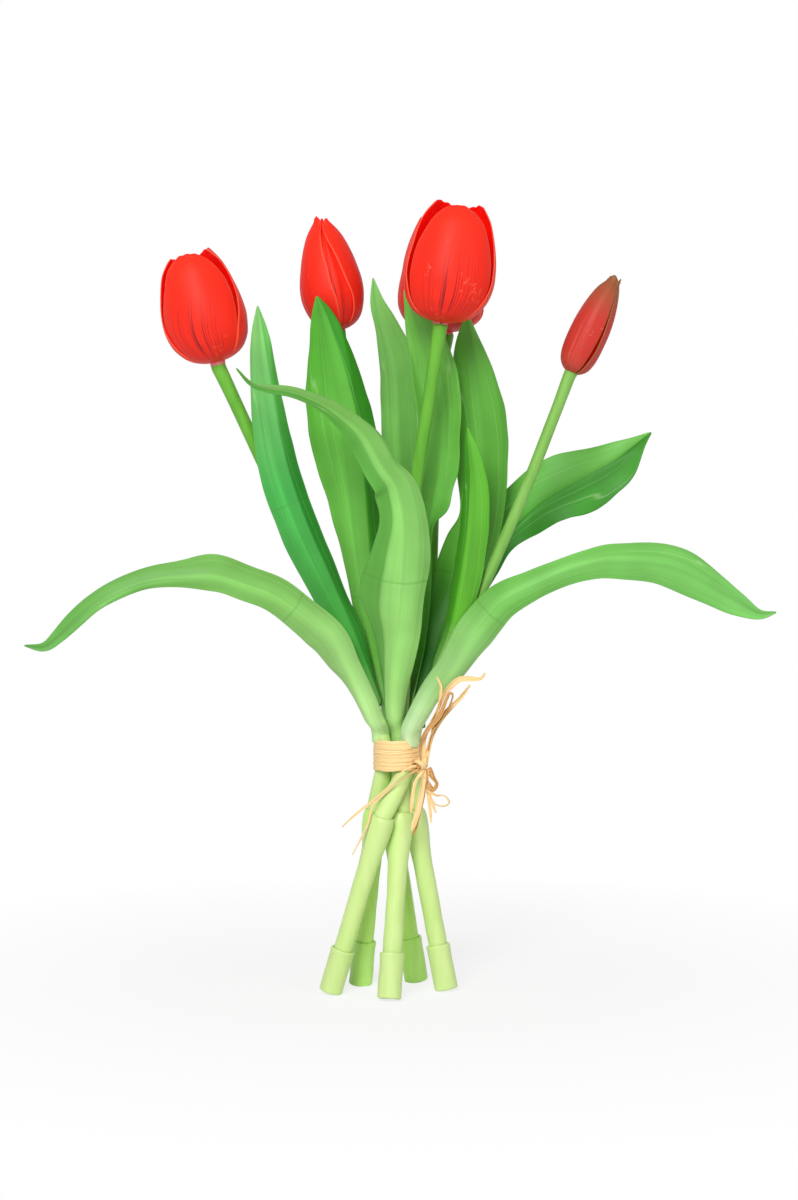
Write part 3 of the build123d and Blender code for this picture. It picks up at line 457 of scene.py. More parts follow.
# Raffia: one flat strip wound round the waist, a knot, and loose ends given as they are seen by
# the camera: millimetres across and up from the look-at point, and the depth.
TIE_TURNS = 6
TIE_PITCH = 2.1
TIE_START = -60.0
TIE_RADIUS = 11.8
TIE_SAG = 0.5
TIE_CREASE = 0.25
STRIP_WIDTH = 4.6
STRIP_LAP = 0.9
RAFFIA_THICKNESS = 0.35
KNOT_TURNS = 2.4
KNOT_TILT = 25.0
KNOT_RADIUS = 2.1
KNOT_GROWTH = 0.9
KNOT_WIDTH = 4.2
KNOT_SWAY = 1.6
KNOT_CREASE = 0.3
END_TAPER = 0.14  # share of a loose end over which it narrows
END_LOSS = 0.75  # share of its width that it loses there
END_HOLLOW = 0.25  # depth of its channel, in widths
raffia_ends = {
    "raffia_bow": [
        {"width": 2.6, "twist": 60.0, "tone": "straw",
         "seen": [(12.5, -83, -13.5), (12.0, -73, -15.5), (15.5, -64, -17.5), (19.0, -57, -19.0),
                  (22.0, -50, -20.5), (25.5, -45, -22.0), (31.0, -41, -23.5), (40.5, -41, -25.0),
                  (43.0, -38, -25.5)]},
        {"width": 2.4, "twist": -40.0, "tone": "straw",
         "seen": [(13.5, -83, -13.0), (15.5, -73, -15.0), (18.5, -65, -17.0), (22.5, -59, -18.5),
                  (27.0, -54, -20.0), (31.0, -50, -21.5), (35.5, -44, -23.0)]},
        # browner loop, partly painted shade inside the bow
        {"width": 2.4, "twist": 90.0, "tone": "brown_and_shaded",
         "seen": [(11.0, -82, -14.5), (11.0, -73, -17.0), (14.5, -66, -19.0), (20.5, -59, -20.5),
                  (23.5, -52, -22.0), (25.5, -48, -22.5), (27.0, -49, -22.0), (26.0, -53, -21.5),
                  (22.5, -60, -20.0), (17.0, -68, -17.5), (14.5, -77, -15.0)]},
        {"width": 1.3, "twist": 40.0, "tone": "straw",
         "seen": [(14.0, -80, -14.0), (16.5, -68, -17.0), (19.0, -58, -19.0), (20.5, -51, -20.0),
                  (21.0, -45, -21.0), (19.0, -40, -21.5)]},
    ],
    "raffia_tails": [
        {"width": 1.6, "twist": 30.0, "tone": "straw",
         "seen": [(12.5, -85, -13.5), (11.0, -88, -15.5), (8.0, -93, -17.0), (6.5, -102, -18.0),
                  (6.0, -108, -18.0)]},
        {"width": 2.8, "twist": -40.0, "tone": "straw",
         "seen": [(13.0, -86, -13.5), (12.0, -93, -16.5), (10.5, -102, -18.0), (9.0, -109, -19.0),
                  (6.5, -117, -19.5)]},
        {"width": 1.2, "twist": 50.0, "tone": "brown_and_shaded",
         "seen": [(13.5, -86, -13.0), (13.0, -95, -16.0), (11.5, -104, -17.0), (9.5, -112, -18.0),
                  (7.5, -119, -18.5)]},
        {"width": 1.4, "twist": -60.0, "tone": "straw",
         "seen": [(14.0, -86, -12.5), (14.5, -94, -14.5), (16.0, -101, -15.5),
                  (18.5, -108, -16.0)]},
        {"width": 1.3, "twist": 30.0, "tone": "straw",
         "seen": [(14.0, -87, -12.5), (14.3, -97, -14.5), (15.5, -106, -15.5),
                  (16.0, -113, -16.0)]},
        {"width": 1.5, "twist": 120.0, "tone": "straw",
         "seen": [(13.0, -87, -13.0), (13.5, -95, -15.0), (18.0, -99, -16.0), (22.5, -99.5, -16.0),
                  (25.0, -102.5, -16.0), (22.5, -104.5, -15.5), (18.5, -103.5, -15.0),
                  (15.5, -100, -14.5)]},
        {"width": 3.0, "twist": 60.0, "tone": "brown_and_shaded",
         "seen": [(14.5, -85.5, -12.0), (17.0, -90, -13.0), (19.0, -93.5, -14.0),
                  (17.0, -96.5, -15.0), (14.5, -94, -15.0), (12.0, -90, -14.5)]},
    ],
    "raffia_threads": [
        {"width": 0.9, "twist": 60.0, "tone": "straw",
         "seen": [(12.0, -84, -13.5), (3.5, -86, -16.5), (-5.5, -95, -17.5), (-14.0, -102.5, -19.5),
                  (-22.0, -109, -21.0), (-28.5, -115, -22.0)]},
        {"width": 0.9, "twist": -60.0, "tone": "straw",
         "seen": [(12.0, -85, -13.5), (2.0, -91, -16.5), (-8.0, -99, -18.0), (-13.0, -104, -19.5),
                  (-15.5, -113, -21.0), (-18.5, -119.5, -22.0), (-23.5, -129, -23.0)]},
    ],
}


# Lines and profiles


def smooth(value):
    """Eases a share from 0 to 1."""
    value = min(max(value, 0.0), 1.0)
    return value * value * (3 - 2 * value)


def between(before, here, there, after, share):
    """A point on the smooth curve from here to there."""
    first = (there - before) * 0.5
    last = (after - here) * 0.5
    rest = there - here
    return here + (first + (rest * 3 - first * 2 - last
                            + (first + last - rest * 2) * share) * share) * share


def profile(pairs, place):
    """A smooth value through pairs of place and value."""
    last = len(pairs) - 1
    index = 0
    while index < last - 1 and place > pairs[index + 1][0]:
        index += 1
    (start, here), (end, there) = pairs[index], pairs[index + 1]
    (before, first), (after, final) = pairs[max(index - 1, 0)], pairs[min(index + 2, last)]
    run = end - start
    leave = (there - first) / (end - before) * run
    arrive = (final - here) / (after - start) * run
    share = min(max((place - start) / run, 0.0), 1.0)
    rest = there - here
    return here + share * (leave + share * (3 * rest - 2 * leave - arrive
                                            + share * (leave + arrive - 2 * rest)))


class Route:
    """A smooth line through points, measured along its length."""

    STEPS = 16

    def __init__(self, points):
        ends = [points[0] * 2 - points[1], *points, points[-1] * 2 - points[-2]]
        self.places = []
        for before, here, there, after in zip(ends, ends[1:], ends[2:], ends[3:]):
            for step in range(self.STEPS):
                self.places.append(between(before, here, there, after, step / self.STEPS))
        self.places.append(points[-1])
        self.reach = [0.0]
        for here, there in zip(self.places, self.places[1:]):
            self.reach.append(self.reach[-1] + (there - here).length)
        self.length = self.reach[-1]

    def at(self, share):
        """The point at a share of the length, and the direction there."""
        wanted = share * self.length
        index = 0
        low, high = 0, len(self.reach) - 2
        while low <= high:
            middle = (low + high) // 2
            if self.reach[middle] <= wanted:
                index = middle
                low = middle + 1
            else:
                high = middle - 1
        here, there = self.places[index], self.places[index + 1]
        step = (wanted - self.reach[index]) / (self.reach[index + 1] - self.reach[index])
        before = self.places[max(index - 1, 0)]
        after = self.places[min(index + 2, len(self.places) - 1)]
        ahead = (there - before).lerp(after - here, step)
        return here.lerp(there, step), ahead.normalized()


def square_to(ahead, towards):
    """Two directions square to a line, the first as near as it can be to another one."""
    first = (towards - ahead * towards.dot(ahead)).normalized()
    return first, ahead.cross(first)


def turned_by(direction, axis, degrees):
    return Matrix.Rotation(math.radians(degrees), 3, axis) @ direction


def over_tie(point):
    """A place in metres of a point whose height is counted from the tie's middle."""
    x, y, rise = point
    return Vector((x, y, TIE_HEIGHT + rise)) * MM


def seen(across, up, depth):
    """The point that the camera sees at a place in its picture, at a depth along +Y."""
    lean, rise = math.cos(CAMERA_RISE), math.sin(CAMERA_RISE)
    away = CAMERA_DISTANCE + depth * lean
    height = (up * away - CAMERA_DISTANCE * depth * rise) / (CAMERA_DISTANCE * lean + up * rise)
    x = across * (away - height * rise) / CAMERA_DISTANCE
    return Vector((x, depth, LOOK_HEIGHT + height)) * MM


joints = {joint["name"]: joint for joint in frame["joints"]}


def joint_point(name):
    return Vector(joints[name]["pos_m"])


def bloom_frame(name):
    """The foot of a bloom, its axis, and the directions to the viewer and to the right."""
    axis = Vector(joints[f"{name}_bloom_turn"]["axis"]).normalized()
    front, right = square_to(axis, FRONT)
    return joint_point(f"{name}_bloom_turn"), axis, front, right


def waist_point(tulip, rise):
    """The middle of a tulip's stalk in the tie."""
    if tulip["waist"] is None:
        return over_tie((0, 0, rise))
    angle = math.radians(tulip["waist"])
    return over_tie((STALK_STEP * math.cos(angle), STALK_STEP * math.sin(angle), rise))


def node_point(tulip):
    """The middle of the collar at the top of a tulip's leg."""
    return Vector((*tulip["node"], NODE_HEIGHT)) * MM


# Building pieces


def shaped_sheet(name, across, along, place):
    """A sheet of that many faces, its vertices put where place says for shares across and along."""
    bpy.ops.object.select_all(action="DESELECT")
    bpy.ops.mesh.primitive_grid_add(x_subdivisions=across, y_subdivisions=along, size=1)
    piece = bpy.context.object
    piece.name = name
    piece.data.name = name
    for vertex in piece.data.vertices:
        vertex.co = place(vertex.co.x + 0.5, vertex.co.y + 0.5)
    return piece


def weld(piece):
    """Joins the edges of a sheet that has been rolled up."""
    bpy.context.view_layer.objects.active = piece
    bpy.ops.object.mode_set(mode="EDIT")
    bpy.ops.mesh.select_all(action="SELECT")
    bpy.ops.mesh.remove_doubles(threshold=0.001 * MM)
    bpy.ops.mesh.normals_make_consistent(inside=False)
    bpy.ops.object.mode_set(mode="OBJECT")


def tube_piece(name, line, around, along, radius):
    """A tube along a route, its radius in mm given for each place on it and angle round it."""

    def place(u, v):
        here, ahead = line.at(v)
        first, second = square_to(ahead, FRONT)
        angle = 2 * math.pi * u
        out = first * math.cos(angle) + second * math.sin(angle)
        return here + out * radius(here, angle) * MM

    piece = shaped_sheet(name, around, along, place)
    weld(piece)
    return piece


def thicken(piece, thickness, inner_material=0):
    """Gives a sheet its wall and rounds the edges."""
    bpy.context.view_layer.objects.active = piece
    wall = piece.modifiers.new("wall", "SOLIDIFY")
    wall.thickness = thickness * MM
    wall.offset = -1
    wall.material_offset = inner_material
    bpy.ops.object.modifier_apply(modifier=wall.name)
    rounding = piece.modifiers.new("rounding", "SUBSURF")
    rounding.levels = 1
    bpy.ops.object.modifier_apply(modifier=rounding.name)


def dress(piece, slot, *materials):
    """Gives a piece its materials and smooth faces; slot is not used."""
    for material in materials:
        piece.data.materials.append(material)
    piece.data.shade_smooth()


def turned_piece(name, origin, axis, outline, around, along, wobble):
    """A round piece: outline holds reach along the axis and radius, wobble how uneven it is."""
    edge = Route([Vector((reach, radius, 0)) for reach, radius in outline])
    first, second = square_to(axis, FRONT)

    def place(u, v):
        reach, radius, _ = edge.at(v)[0]
        angle = 2 * math.pi * u
        out = first * math.cos(angle) + second * math.sin(angle)
        point = origin + (axis * reach + out * radius) * MM
        uneven = noise.noise(point * UNEVEN_BUMPS) * wobble * min(radius / LEG_RADIUS, 1)
        return point + out * uneven * MM

    piece = shaped_sheet(name, around, along, place)
    weld(piece)
    return piece


# Materials


def colour(code):
    """Linear red, green, blue and alpha of an sRGB hex code."""
    parts = [int(code[start:start + 2], 16) / 255 for start in (1, 3, 5)]
    return [part / 12.92 if part <= 0.04045 else ((part + 0.055) / 1.055) ** 2.4
            for part in parts] + [1.0]


def add(tree, kind, inputs, stops=None, **settings):
    """Adds a node; an input is a value or a socket to link, stops fill a colour ramp."""
    node = tree.nodes.new("ShaderNode" + kind)
    for key, value in settings.items():
        setattr(node, key, value)
    for key, value in inputs.items():
        if isinstance(value, bpy.types.NodeSocket):
            tree.links.new(value, node.inputs[key])
        else:
            node.inputs[key].default_value = value
    if stops:
        elements = node.color_ramp.elements
        while len(elements) < len(stops):
            elements.new(0.5)
        for element, (position, code) in zip(elements, stops):
            element.position = position
            element.color = colour(code)
    return node


MIX_A, MIX_B, MIX_RESULT = 6, 7, 2  # colour sockets of a mix node


def new_material(name):
    """A material with an empty tree, and its tree and surface output."""
    material = bpy.data.materials.new(name)
    material.use_nodes = True
    tree = material.node_tree
    tree.nodes.clear()
    return material, tree, add(tree, "OutputMaterial", {})


def looking(tree):
    """1 for a ray from the eye, also through glass or off a gloss, and 0 for light on its way."""
    path = add(tree, "LightPath", {})
    looks = path.outputs["Is Camera Ray"]
    for kind in ("Is Glossy Ray", "Is Transmission Ray"):
        looks = add(tree, "Math", {0: looks, 1: path.outputs[kind]}, operation="ADD",
                    use_clamp=True).outputs[0]
    return looks


# Sizes of a flat petal and leaf, which their patterns are worked out from
PETAL_WIDTH = 44.0
PETAL_HEIGHT = 58.0
LEAF_WIDTH = 24.0
LEAF_LENGTH = 215.0
STALK_PALE = "#CFEC94"  # of a stalk in the tie, giving way to green over these heights
PALE_HEIGHTS = (125.0, 175.0)


def petal_material(name, tones, edge, streak, streak_strength, roughness):
    """Soft matte plastic of a petal's outer face: streaks fan up from the base."""
    material, tree, output = new_material(name)
    uv = add(tree, "TexCoord", {}).outputs["UV"]
    parts = add(tree, "SeparateXYZ", {0: uv})
    aside = add(tree, "Math", {0: parts.outputs["X"], 1: 0.5}, operation="SUBTRACT")
    aside = add(tree, "Math", {0: aside.outputs[0]}, operation="ABSOLUTE")
    body = add(tree, "ValToRGB", {"Fac": parts.outputs["Y"]},
               stops=list(zip((0.0, 0.2, 0.55, 1.0), tones)))
    # A thin band along both side edges in the edge colour: on an open petal a painted highlight
    # where the lit edge of its wall shows, on the bud its own olive edge
    rim_tone_and_highlight = add(tree, "ValToRGB", {"Fac": aside.outputs[0]},
              stops=[(0.465, "#000000"), (0.495, "#FFFFFF")])
    body = add(tree, "Mix", {0: rim_tone_and_highlight.outputs["Color"], MIX_A: body.outputs["Color"],
                             MIX_B: colour(edge)}, data_type="RGBA")
    # Streaks about 2 mm apart, each running up most of the petal
    stretch = add(tree, "Mapping", {"Vector": uv,
                                    "Scale": (PETAL_WIDTH / 1.1, PETAL_HEIGHT / 70, 1)})
    lines = add(tree, "TexNoise", {"Vector": stretch.outputs[0], "Scale": 1.0, "Detail": 2.0,
                                   "Roughness": 0.6})
    lines = add(tree, "ValToRGB", {"Fac": lines.outputs["Fac"]},
                stops=[(0.52, "#000000"), (0.58, "#FFFFFF")])
    height = add(tree, "ValToRGB", {"Fac": parts.outputs["Y"]},
                 stops=[(0.02, "#777777"), (0.14, "#FFFFFF"), (0.48, "#CCCCCC"), (0.78, "#000000")])
    middle = add(tree, "ValToRGB", {"Fac": aside.outputs[0]},
                 stops=[(0.08, "#FFFFFF"), (0.38, "#000000")])
    mask = add(tree, "Math", {0: lines.outputs["Color"], 1: height.outputs["Color"]},
               operation="MULTIPLY")
    mask = add(tree, "Math", {0: mask.outputs[0], 1: middle.outputs["Color"]},
               operation="MULTIPLY")
    mask = add(tree, "Math", {0: mask.outputs[0], 1: streak_strength}, operation="MULTIPLY")
    body = add(tree, "Mix", {0: mask.outputs[0], MIX_A: body.outputs[MIX_RESULT],
                             MIX_B: colour(streak)}, data_type="RGBA")
    # Pale scuffs, 2 mm long, in a few patches 12 mm wide
    place = add(tree, "TexCoord", {}).outputs["Object"]
    specks = add(tree, "TexNoise", {"Vector": place, "Scale": 1 / (2 * MM), "Detail": 1.0})
    patches = add(tree, "TexNoise", {"Vector": place, "Scale": 1 / (12 * MM), "Detail": 0.0})
    specks = add(tree, "Math", {0: specks.outputs["Fac"], 1: patches.outputs["Fac"]},
                 operation="MULTIPLY")
    specks = add(tree, "ValToRGB", {"Fac": specks.outputs[0]},
                 stops=[(0.45, "#000000"), (0.48, "#777777")])
    body = add(tree, "Mix", {0: specks.outputs["Color"], MIX_A: body.outputs[MIX_RESULT],
                             MIX_B: colour("#FF8E6E")}, data_type="RGBA")
    # Fine lengthwise grain, 0.5 mm apart
    grain = add(tree, "Mapping", {"Vector": uv,
                                  "Scale": (PETAL_WIDTH / 0.5, PETAL_HEIGHT / 15, 1)})
    grain = add(tree, "TexNoise", {"Vector": grain.outputs[0], "Scale": 1.0, "Detail": 3.0})
    bump = add(tree, "Bump", {"Strength": 0.25, "Distance": 0.15 * MM,
                              "Height": grain.outputs["Fac"]})
    surface = add(tree, "BsdfPrincipled", {"Base Color": body.outputs[MIX_RESULT],
                                           "Roughness": roughness, "Specular IOR Level": 0.2,
                                           "Normal": bump.outputs[0]})
    tree.links.new(surface.outputs[0], output.inputs["Surface"])
    return material


def leaf_material(name, greens, seam, painted_shade_planes):
    """Soft plastic of a leaf: pale at the base, with painted light and shade on its lengthwise
    facets and planes, veins and a mould seam.
    """
    material, tree, output = new_material(name)
    uv = add(tree, "TexCoord", {}).outputs["UV"]
    parts = add(tree, "SeparateXYZ", {0: uv})
    body = add(tree, "ValToRGB", {"Fac": parts.outputs["Y"]},
               stops=list(zip((0.0, 0.16, seam + 0.04, 1.0), greens)))
    # Painted light and shade in broad lengthwise bands 9 mm apart, for facets that face the light
    # or turn from it, and mottling 25 mm across
    facet_light_and_shade = add(tree, "Mapping", {"Vector": uv, "Scale": (LEAF_WIDTH / 9, LEAF_LENGTH / 160, 1)})
    facet_light_and_shade = add(tree, "TexNoise", {"Vector": facet_light_and_shade.outputs[0], "Scale": 1.0, "Detail": 1.0})
    shade = add(tree, "MapRange", {"Value": facet_light_and_shade.outputs["Fac"], "From Min": 0.33,
                                   "From Max": 0.67, "To Min": 0.8, "To Max": 1.12})
    place = add(tree, "TexCoord", {}).outputs["Object"]
    mottle = add(tree, "TexNoise", {"Vector": place, "Scale": 1 / (25 * MM), "Detail": 2.0})
    cloud = add(tree, "MapRange", {"Value": mottle.outputs["Fac"], "From Min": 0.3,
                                   "From Max": 0.7, "To Min": 0.9, "To Max": 1.08})
    shade = add(tree, "Math", {0: shade.outputs[0], 1: cloud.outputs[0]}, operation="MULTIPLY")
    # Fine veins, 1.6 mm apart
    veins = add(tree, "Mapping", {"Vector": uv, "Scale": (LEAF_WIDTH / 1.6, LEAF_LENGTH / 120, 1)})
    veins = add(tree, "TexNoise", {"Vector": veins.outputs[0], "Scale": 1.0, "Detail": 3.0})
    lines = add(tree, "MapRange", {"Value": veins.outputs["Fac"], "From Min": 0.35,
                                   "From Max": 0.65, "To Min": 0.955, "To Max": 1.035})
    shade = add(tree, "Math", {0: shade.outputs[0], 1: lines.outputs[0]}, operation="MULTIPLY")
    body = add(tree, "HueSaturation", {"Color": body.outputs["Color"],
                                       "Value": shade.outputs[0]}).outputs["Color"]
    # Painted shade: the planes across on one side, which turn from the light, are darkened by a
    # multiply
    if painted_shade_planes:
        painted_plane_shade = add(tree, "ValToRGB", {"Fac": parts.outputs["X"]}, stops=painted_shade_planes)
        body = add(tree, "Mix", {0: 1.0, MIX_A: body, MIX_B: painted_plane_shade.outputs["Color"]},
                   data_type="RGBA", blend_type="MULTIPLY").outputs[MIX_RESULT]
    # A few thin pale lines, 6 mm apart
    pale = add(tree, "Mapping", {"Vector": uv, "Scale": (LEAF_WIDTH / 6, LEAF_LENGTH / 300, 1)})
    pale = add(tree, "TexNoise", {"Vector": pale.outputs[0], "Scale": 1.0, "Detail": 0.0})
    pale = add(tree, "ValToRGB", {"Fac": pale.outputs["Fac"]},
               stops=[(0.492, "#000000"), (0.5, "#888888"), (0.508, "#000000")])
    body = add(tree, "Mix", {0: pale.outputs["Color"], MIX_A: body,
                             MIX_B: colour("#CDEBB0")}, data_type="RGBA")
    # The seam, a thin uneven line across
    wander = add(tree, "TexNoise", {"Vector": uv, "Scale": 2.0, "Detail": 1.0})
    wander = add(tree, "MapRange", {"Value": wander.outputs["Fac"], "To Min": -0.005,
                                    "To Max": 0.005})
    reach = add(tree, "Math", {0: parts.outputs["Y"], 1: wander.outputs[0]}, operation="ADD")
    reach = add(tree, "Math", {0: reach.outputs[0], 1: seam}, operation="SUBTRACT")
    reach = add(tree, "Math", {0: reach.outputs[0]}, operation="ABSOLUTE")
    line = add(tree, "ValToRGB", {"Fac": reach.outputs[0]},
               stops=[(0.0008, "#FFFFFF"), (0.003, "#000000")])
    weight = add(tree, "Math", {0: line.outputs["Color"], 1: 0.3}, operation="MULTIPLY")
    body = add(tree, "Mix", {0: weight.outputs[0], MIX_A: body.outputs[MIX_RESULT],
                             MIX_B: colour("#4C8A2E")}, data_type="RGBA")
    height = add(tree, "Math", {0: veins.outputs["Fac"], 1: line.outputs["Color"]},
                 operation="SUBTRACT")
    bump = add(tree, "Bump", {"Strength": 0.35, "Distance": 0.25 * MM,
                              "Height": height.outputs[0]})
    surface = add(tree, "BsdfPrincipled", {"Base Color": body.outputs[MIX_RESULT],
                                           "Roughness": 0.45, "Specular IOR Level": 0.22,
                                           "Normal": bump.outputs[0]})
    tree.links.new(surface.outputs[0], output.inputs["Surface"])
    return material


def stem_material(name, tones, grain, roughness, pale=None):
    """Smooth soft plastic of a stem, mottled between two greens, and pale low down if asked."""
    material, tree, output = new_material(name)
    place = add(tree, "TexCoord", {}).outputs["Object"]
    # Drawn-out mottling, 5 mm across and 30 mm along
    stretch = add(tree, "Mapping", {"Vector": place, "Scale": (1 / (5 * MM), 1 / (5 * MM),
                                                               1 / (30 * MM))})
    mottle = add(tree, "TexNoise", {"Vector": stretch.outputs[0], "Scale": 1.0, "Detail": 2.0})
    body = add(tree, "ValToRGB", {"Fac": mottle.outputs["Fac"]},
               stops=[(0.3, tones[0]), (0.7, tones[1])]).outputs["Color"]
    if pale:
        parts = add(tree, "SeparateXYZ", {0: place})
        rise = add(tree, "MapRange", {"Value": parts.outputs["Z"],
                                      "From Min": PALE_HEIGHTS[0] * MM,
                                      "From Max": PALE_HEIGHTS[1] * MM})
        body = add(tree, "Mix", {0: rise.outputs[0], MIX_A: colour(pale), MIX_B: body},
                   data_type="RGBA").outputs[MIX_RESULT]
    fine = add(tree, "TexNoise", {"Vector": place, "Scale": 1 / (1.2 * MM), "Detail": 2.0})
    bump = add(tree, "Bump", {"Strength": grain, "Distance": 0.1 * MM,
                              "Height": fine.outputs["Fac"]})
    surface = add(tree, "BsdfPrincipled", {"Base Color": body, "Roughness": roughness,
                                           "Specular IOR Level": 0.3, "Normal": bump.outputs[0]})
    tree.links.new(surface.outputs[0], output.inputs["Surface"])
    return material


def raffia_material(name, dark, light):
    """Dry palm strip: fine fibres run along it."""
    material, tree, output = new_material(name)
    uv = add(tree, "TexCoord", {}).outputs["UV"]
    # Fibres 0.3 mm apart on a strip 3 mm wide
    stretch = add(tree, "Mapping", {"Vector": uv, "Scale": (3 / 0.3, 4, 1)})
    fibres = add(tree, "TexNoise", {"Vector": stretch.outputs[0], "Scale": 1.0, "Detail": 3.0})
    body = add(tree, "ValToRGB", {"Fac": fibres.outputs["Fac"]},
               stops=[(0.32, dark), (0.62, light)])
    bump = add(tree, "Bump", {"Strength": 0.5, "Distance": 0.15 * MM,
                              "Height": fibres.outputs["Fac"]})
    surface = add(tree, "BsdfPrincipled", {"Base Color": body.outputs["Color"],
                                           "Roughness": 0.55, "Specular IOR Level": 0.2,
                                           "Normal": bump.outputs[0]})
    tree.links.new(surface.outputs[0], output.inputs["Surface"])
    return material


def plain_material(name, tones, roughness, metallic=0.0, painted_glow=0.0):
    """Two close tones in soft patches, and a painted glow of their own colour, of the strength
    given, that stands for light coming through a thin wall.
    """
    material, tree, output = new_material(name)
    place = add(tree, "TexCoord", {}).outputs["Object"]
    # Patches 6 mm across
    patches = add(tree, "TexNoise", {"Vector": place, "Scale": 1 / (6 * MM), "Detail": 2.0})
    body = add(tree, "ValToRGB", {"Fac": patches.outputs["Fac"]},
               stops=[(0.35, tones[0]), (0.65, tones[1])])
    surface = add(tree, "BsdfPrincipled", {"Base Color": body.outputs["Color"],
                                           "Roughness": roughness, "Metallic": metallic,
                                           "Specular IOR Level": 0.3,
                                           # Painted glow: the surface gives off its own colour
                                           "Emission Color": body.outputs["Color"],
                                           "Emission Strength": painted_glow})
    tree.links.new(surface.outputs[0], output.inputs["Surface"])
    return material


# Moulded soft plastic with a matte skin: a clear red, with dull streaks up from the base and a
# painted highlight along the rim, where the lit edge of the wall shows
petal_outside = petal_material(
    "petal_soft_plastic", ("#E8281C", "#F22A18", "#F82C18", "#FC3018"), edge="#FF5A40",
    streak="#8A1E22", streak_strength=0.95, roughness=0.5)
# The inside of the same wall: a deeper red with a painted glow that stands for the light coming
# through it
petal_inside = plain_material("petal_soft_plastic_inside", ("#F01008", "#FA180A"), roughness=0.5,
                              painted_glow=0.16)
# The same plastic on the closed bud: duller, olive at its tip and edges, with pale streaks
bud_outside = petal_material(
    "bud_soft_plastic", ("#B84436", "#C2332A", "#C4352B", "#8A5A33"), edge="#8A6A40",
    streak="#D4604E", streak_strength=0.6, roughness=0.45)
# The bud's inside: a darker red with the same painted glow
bud_inside = plain_material("bud_soft_plastic_inside", ("#CC1610", "#DC1C12"), roughness=0.5,
                            painted_glow=0.16)
# Small moulded pieces in the blooms: a rough pink ring, and a waxy yellow-green pistil
neck_pink = stem_material("neck_soft_plastic", ("#E8606C", "#F2858C"), grain=0.5, roughness=0.5)
pistil_green = plain_material("pistil_soft_plastic", ("#B0BE60", "#C2CC76"), roughness=0.5)
# Extruded soft plastic of the stems: an even green with a low sheen, pale where they are tied
green_stem = stem_material("stem_soft_plastic", ("#5CA42C", "#6CB438"), grain=0.15,
                           roughness=0.45, pale=STALK_PALE)
bud_stem = stem_material("bud_stem_soft_plastic", ("#76B048", "#86BC5A"), grain=0.15,
                         roughness=0.45, pale=STALK_PALE)
# Moulded soft plastic of the legs and sleeves: pale and smooth, with a waxy shine
pale_stem = stem_material("pale_stem_soft_plastic", ("#C8E68C", "#D4ED9A"), grain=0.1,
                          roughness=0.28)
fresh_stem = stem_material("fresh_stem_soft_plastic", ("#BCEE70", "#CAF286"), grain=0.1,
                           roughness=0.28)
foot_pale = stem_material("foot_sleeve_soft_plastic", ("#C8E48E", "#D6EC9E"), grain=0.1,
                          roughness=0.26)
foot_fresh = stem_material("fresh_foot_sleeve_soft_plastic", ("#B6EA70", "#C4F088"), grain=0.1,
                           roughness=0.26)
# Annealed steel wire: a dull dark grey metal
wire_steel = plain_material("annealed_wire", ("#66625C", "#76726C"), roughness=0.45, metallic=1.0)
# Dried palm strips: straw with a silky grain, and a browner tone that is partly the strips' own and
# partly painted shade on those that lie inside the bow and knot
raffia_tones = {
    "straw": raffia_material("straw_raffia", "#F0BE74", "#FFE4AE"),
    "brown_and_shaded": raffia_material("brown_and_shaded_raffia", "#A86C2E", "#E6B878"),
}


# Feet and legs


def build_leg(name, tulip):
    floor_point = Vector((*tulip["foot"], 0)) * MM
    node = node_point(tulip)
    along = (node - floor_point).normalized()
    tilt = along.angle(UP)
    end = floor_point + along * ((FOOT_RADIUS * math.sin(tilt) - REST_CUT) * MM / along.z)
    reach = (node - end).length / MM
    # The sleeve, from the nub in its end to the lip round the leg
    sleeve = turned_piece(
        f"{name}_foot_sleeve", end, along,
        [(0.1, 0.02), (0.15, 0.7), (0.9, 1.2), (1.1, 2.4), (0.5, 4.2), (0.1, 5.1), (0.35, 5.7),
         (1.4, 6.0), (7.0, 6.0), (14.0, 5.9), (20.0, 6.0), (21.8, 6.15), (22.8, 6.0), (23.0, 5.4),
         (22.6, 4.95), (19.0, 4.85)],
        around=48, along=80, wobble=0.25)
    for vertex in sleeve.data.vertices:
        vertex.co.z = max(vertex.co.z, 0.0)
    dress(sleeve, "foot_sleeve", foot_pale if name in PALE_LEGS else foot_fresh)
    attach(sleeve, "bunch")
    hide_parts(f"{name}_foot")
    # The leg, swelling to its collar, which closes round the stalk
    leg = turned_piece(
        f"{name}_leg", end, along,
        [(18.0, 4.7), (30.0, 4.75), (reach - 34.0, 4.8), (reach - 22.0, 5.2), (reach - 14.0, 6.0),
         (reach - 8.0, 6.5), (reach - 3.5, 6.5), (reach - 1.0, 6.0), (reach + 0.1, 5.3),
         (reach - 0.4, 4.7), (reach - 3.0, 4.3)],
        around=44, along=90, wobble=0.3)
    dress(leg, "pale_stem", pale_stem if name in PALE_LEGS else fresh_stem)
    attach(leg, "bunch")
    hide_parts(f"{name}_lower_stem")


# Stems, each one skin from the collar through the tie to the bloom


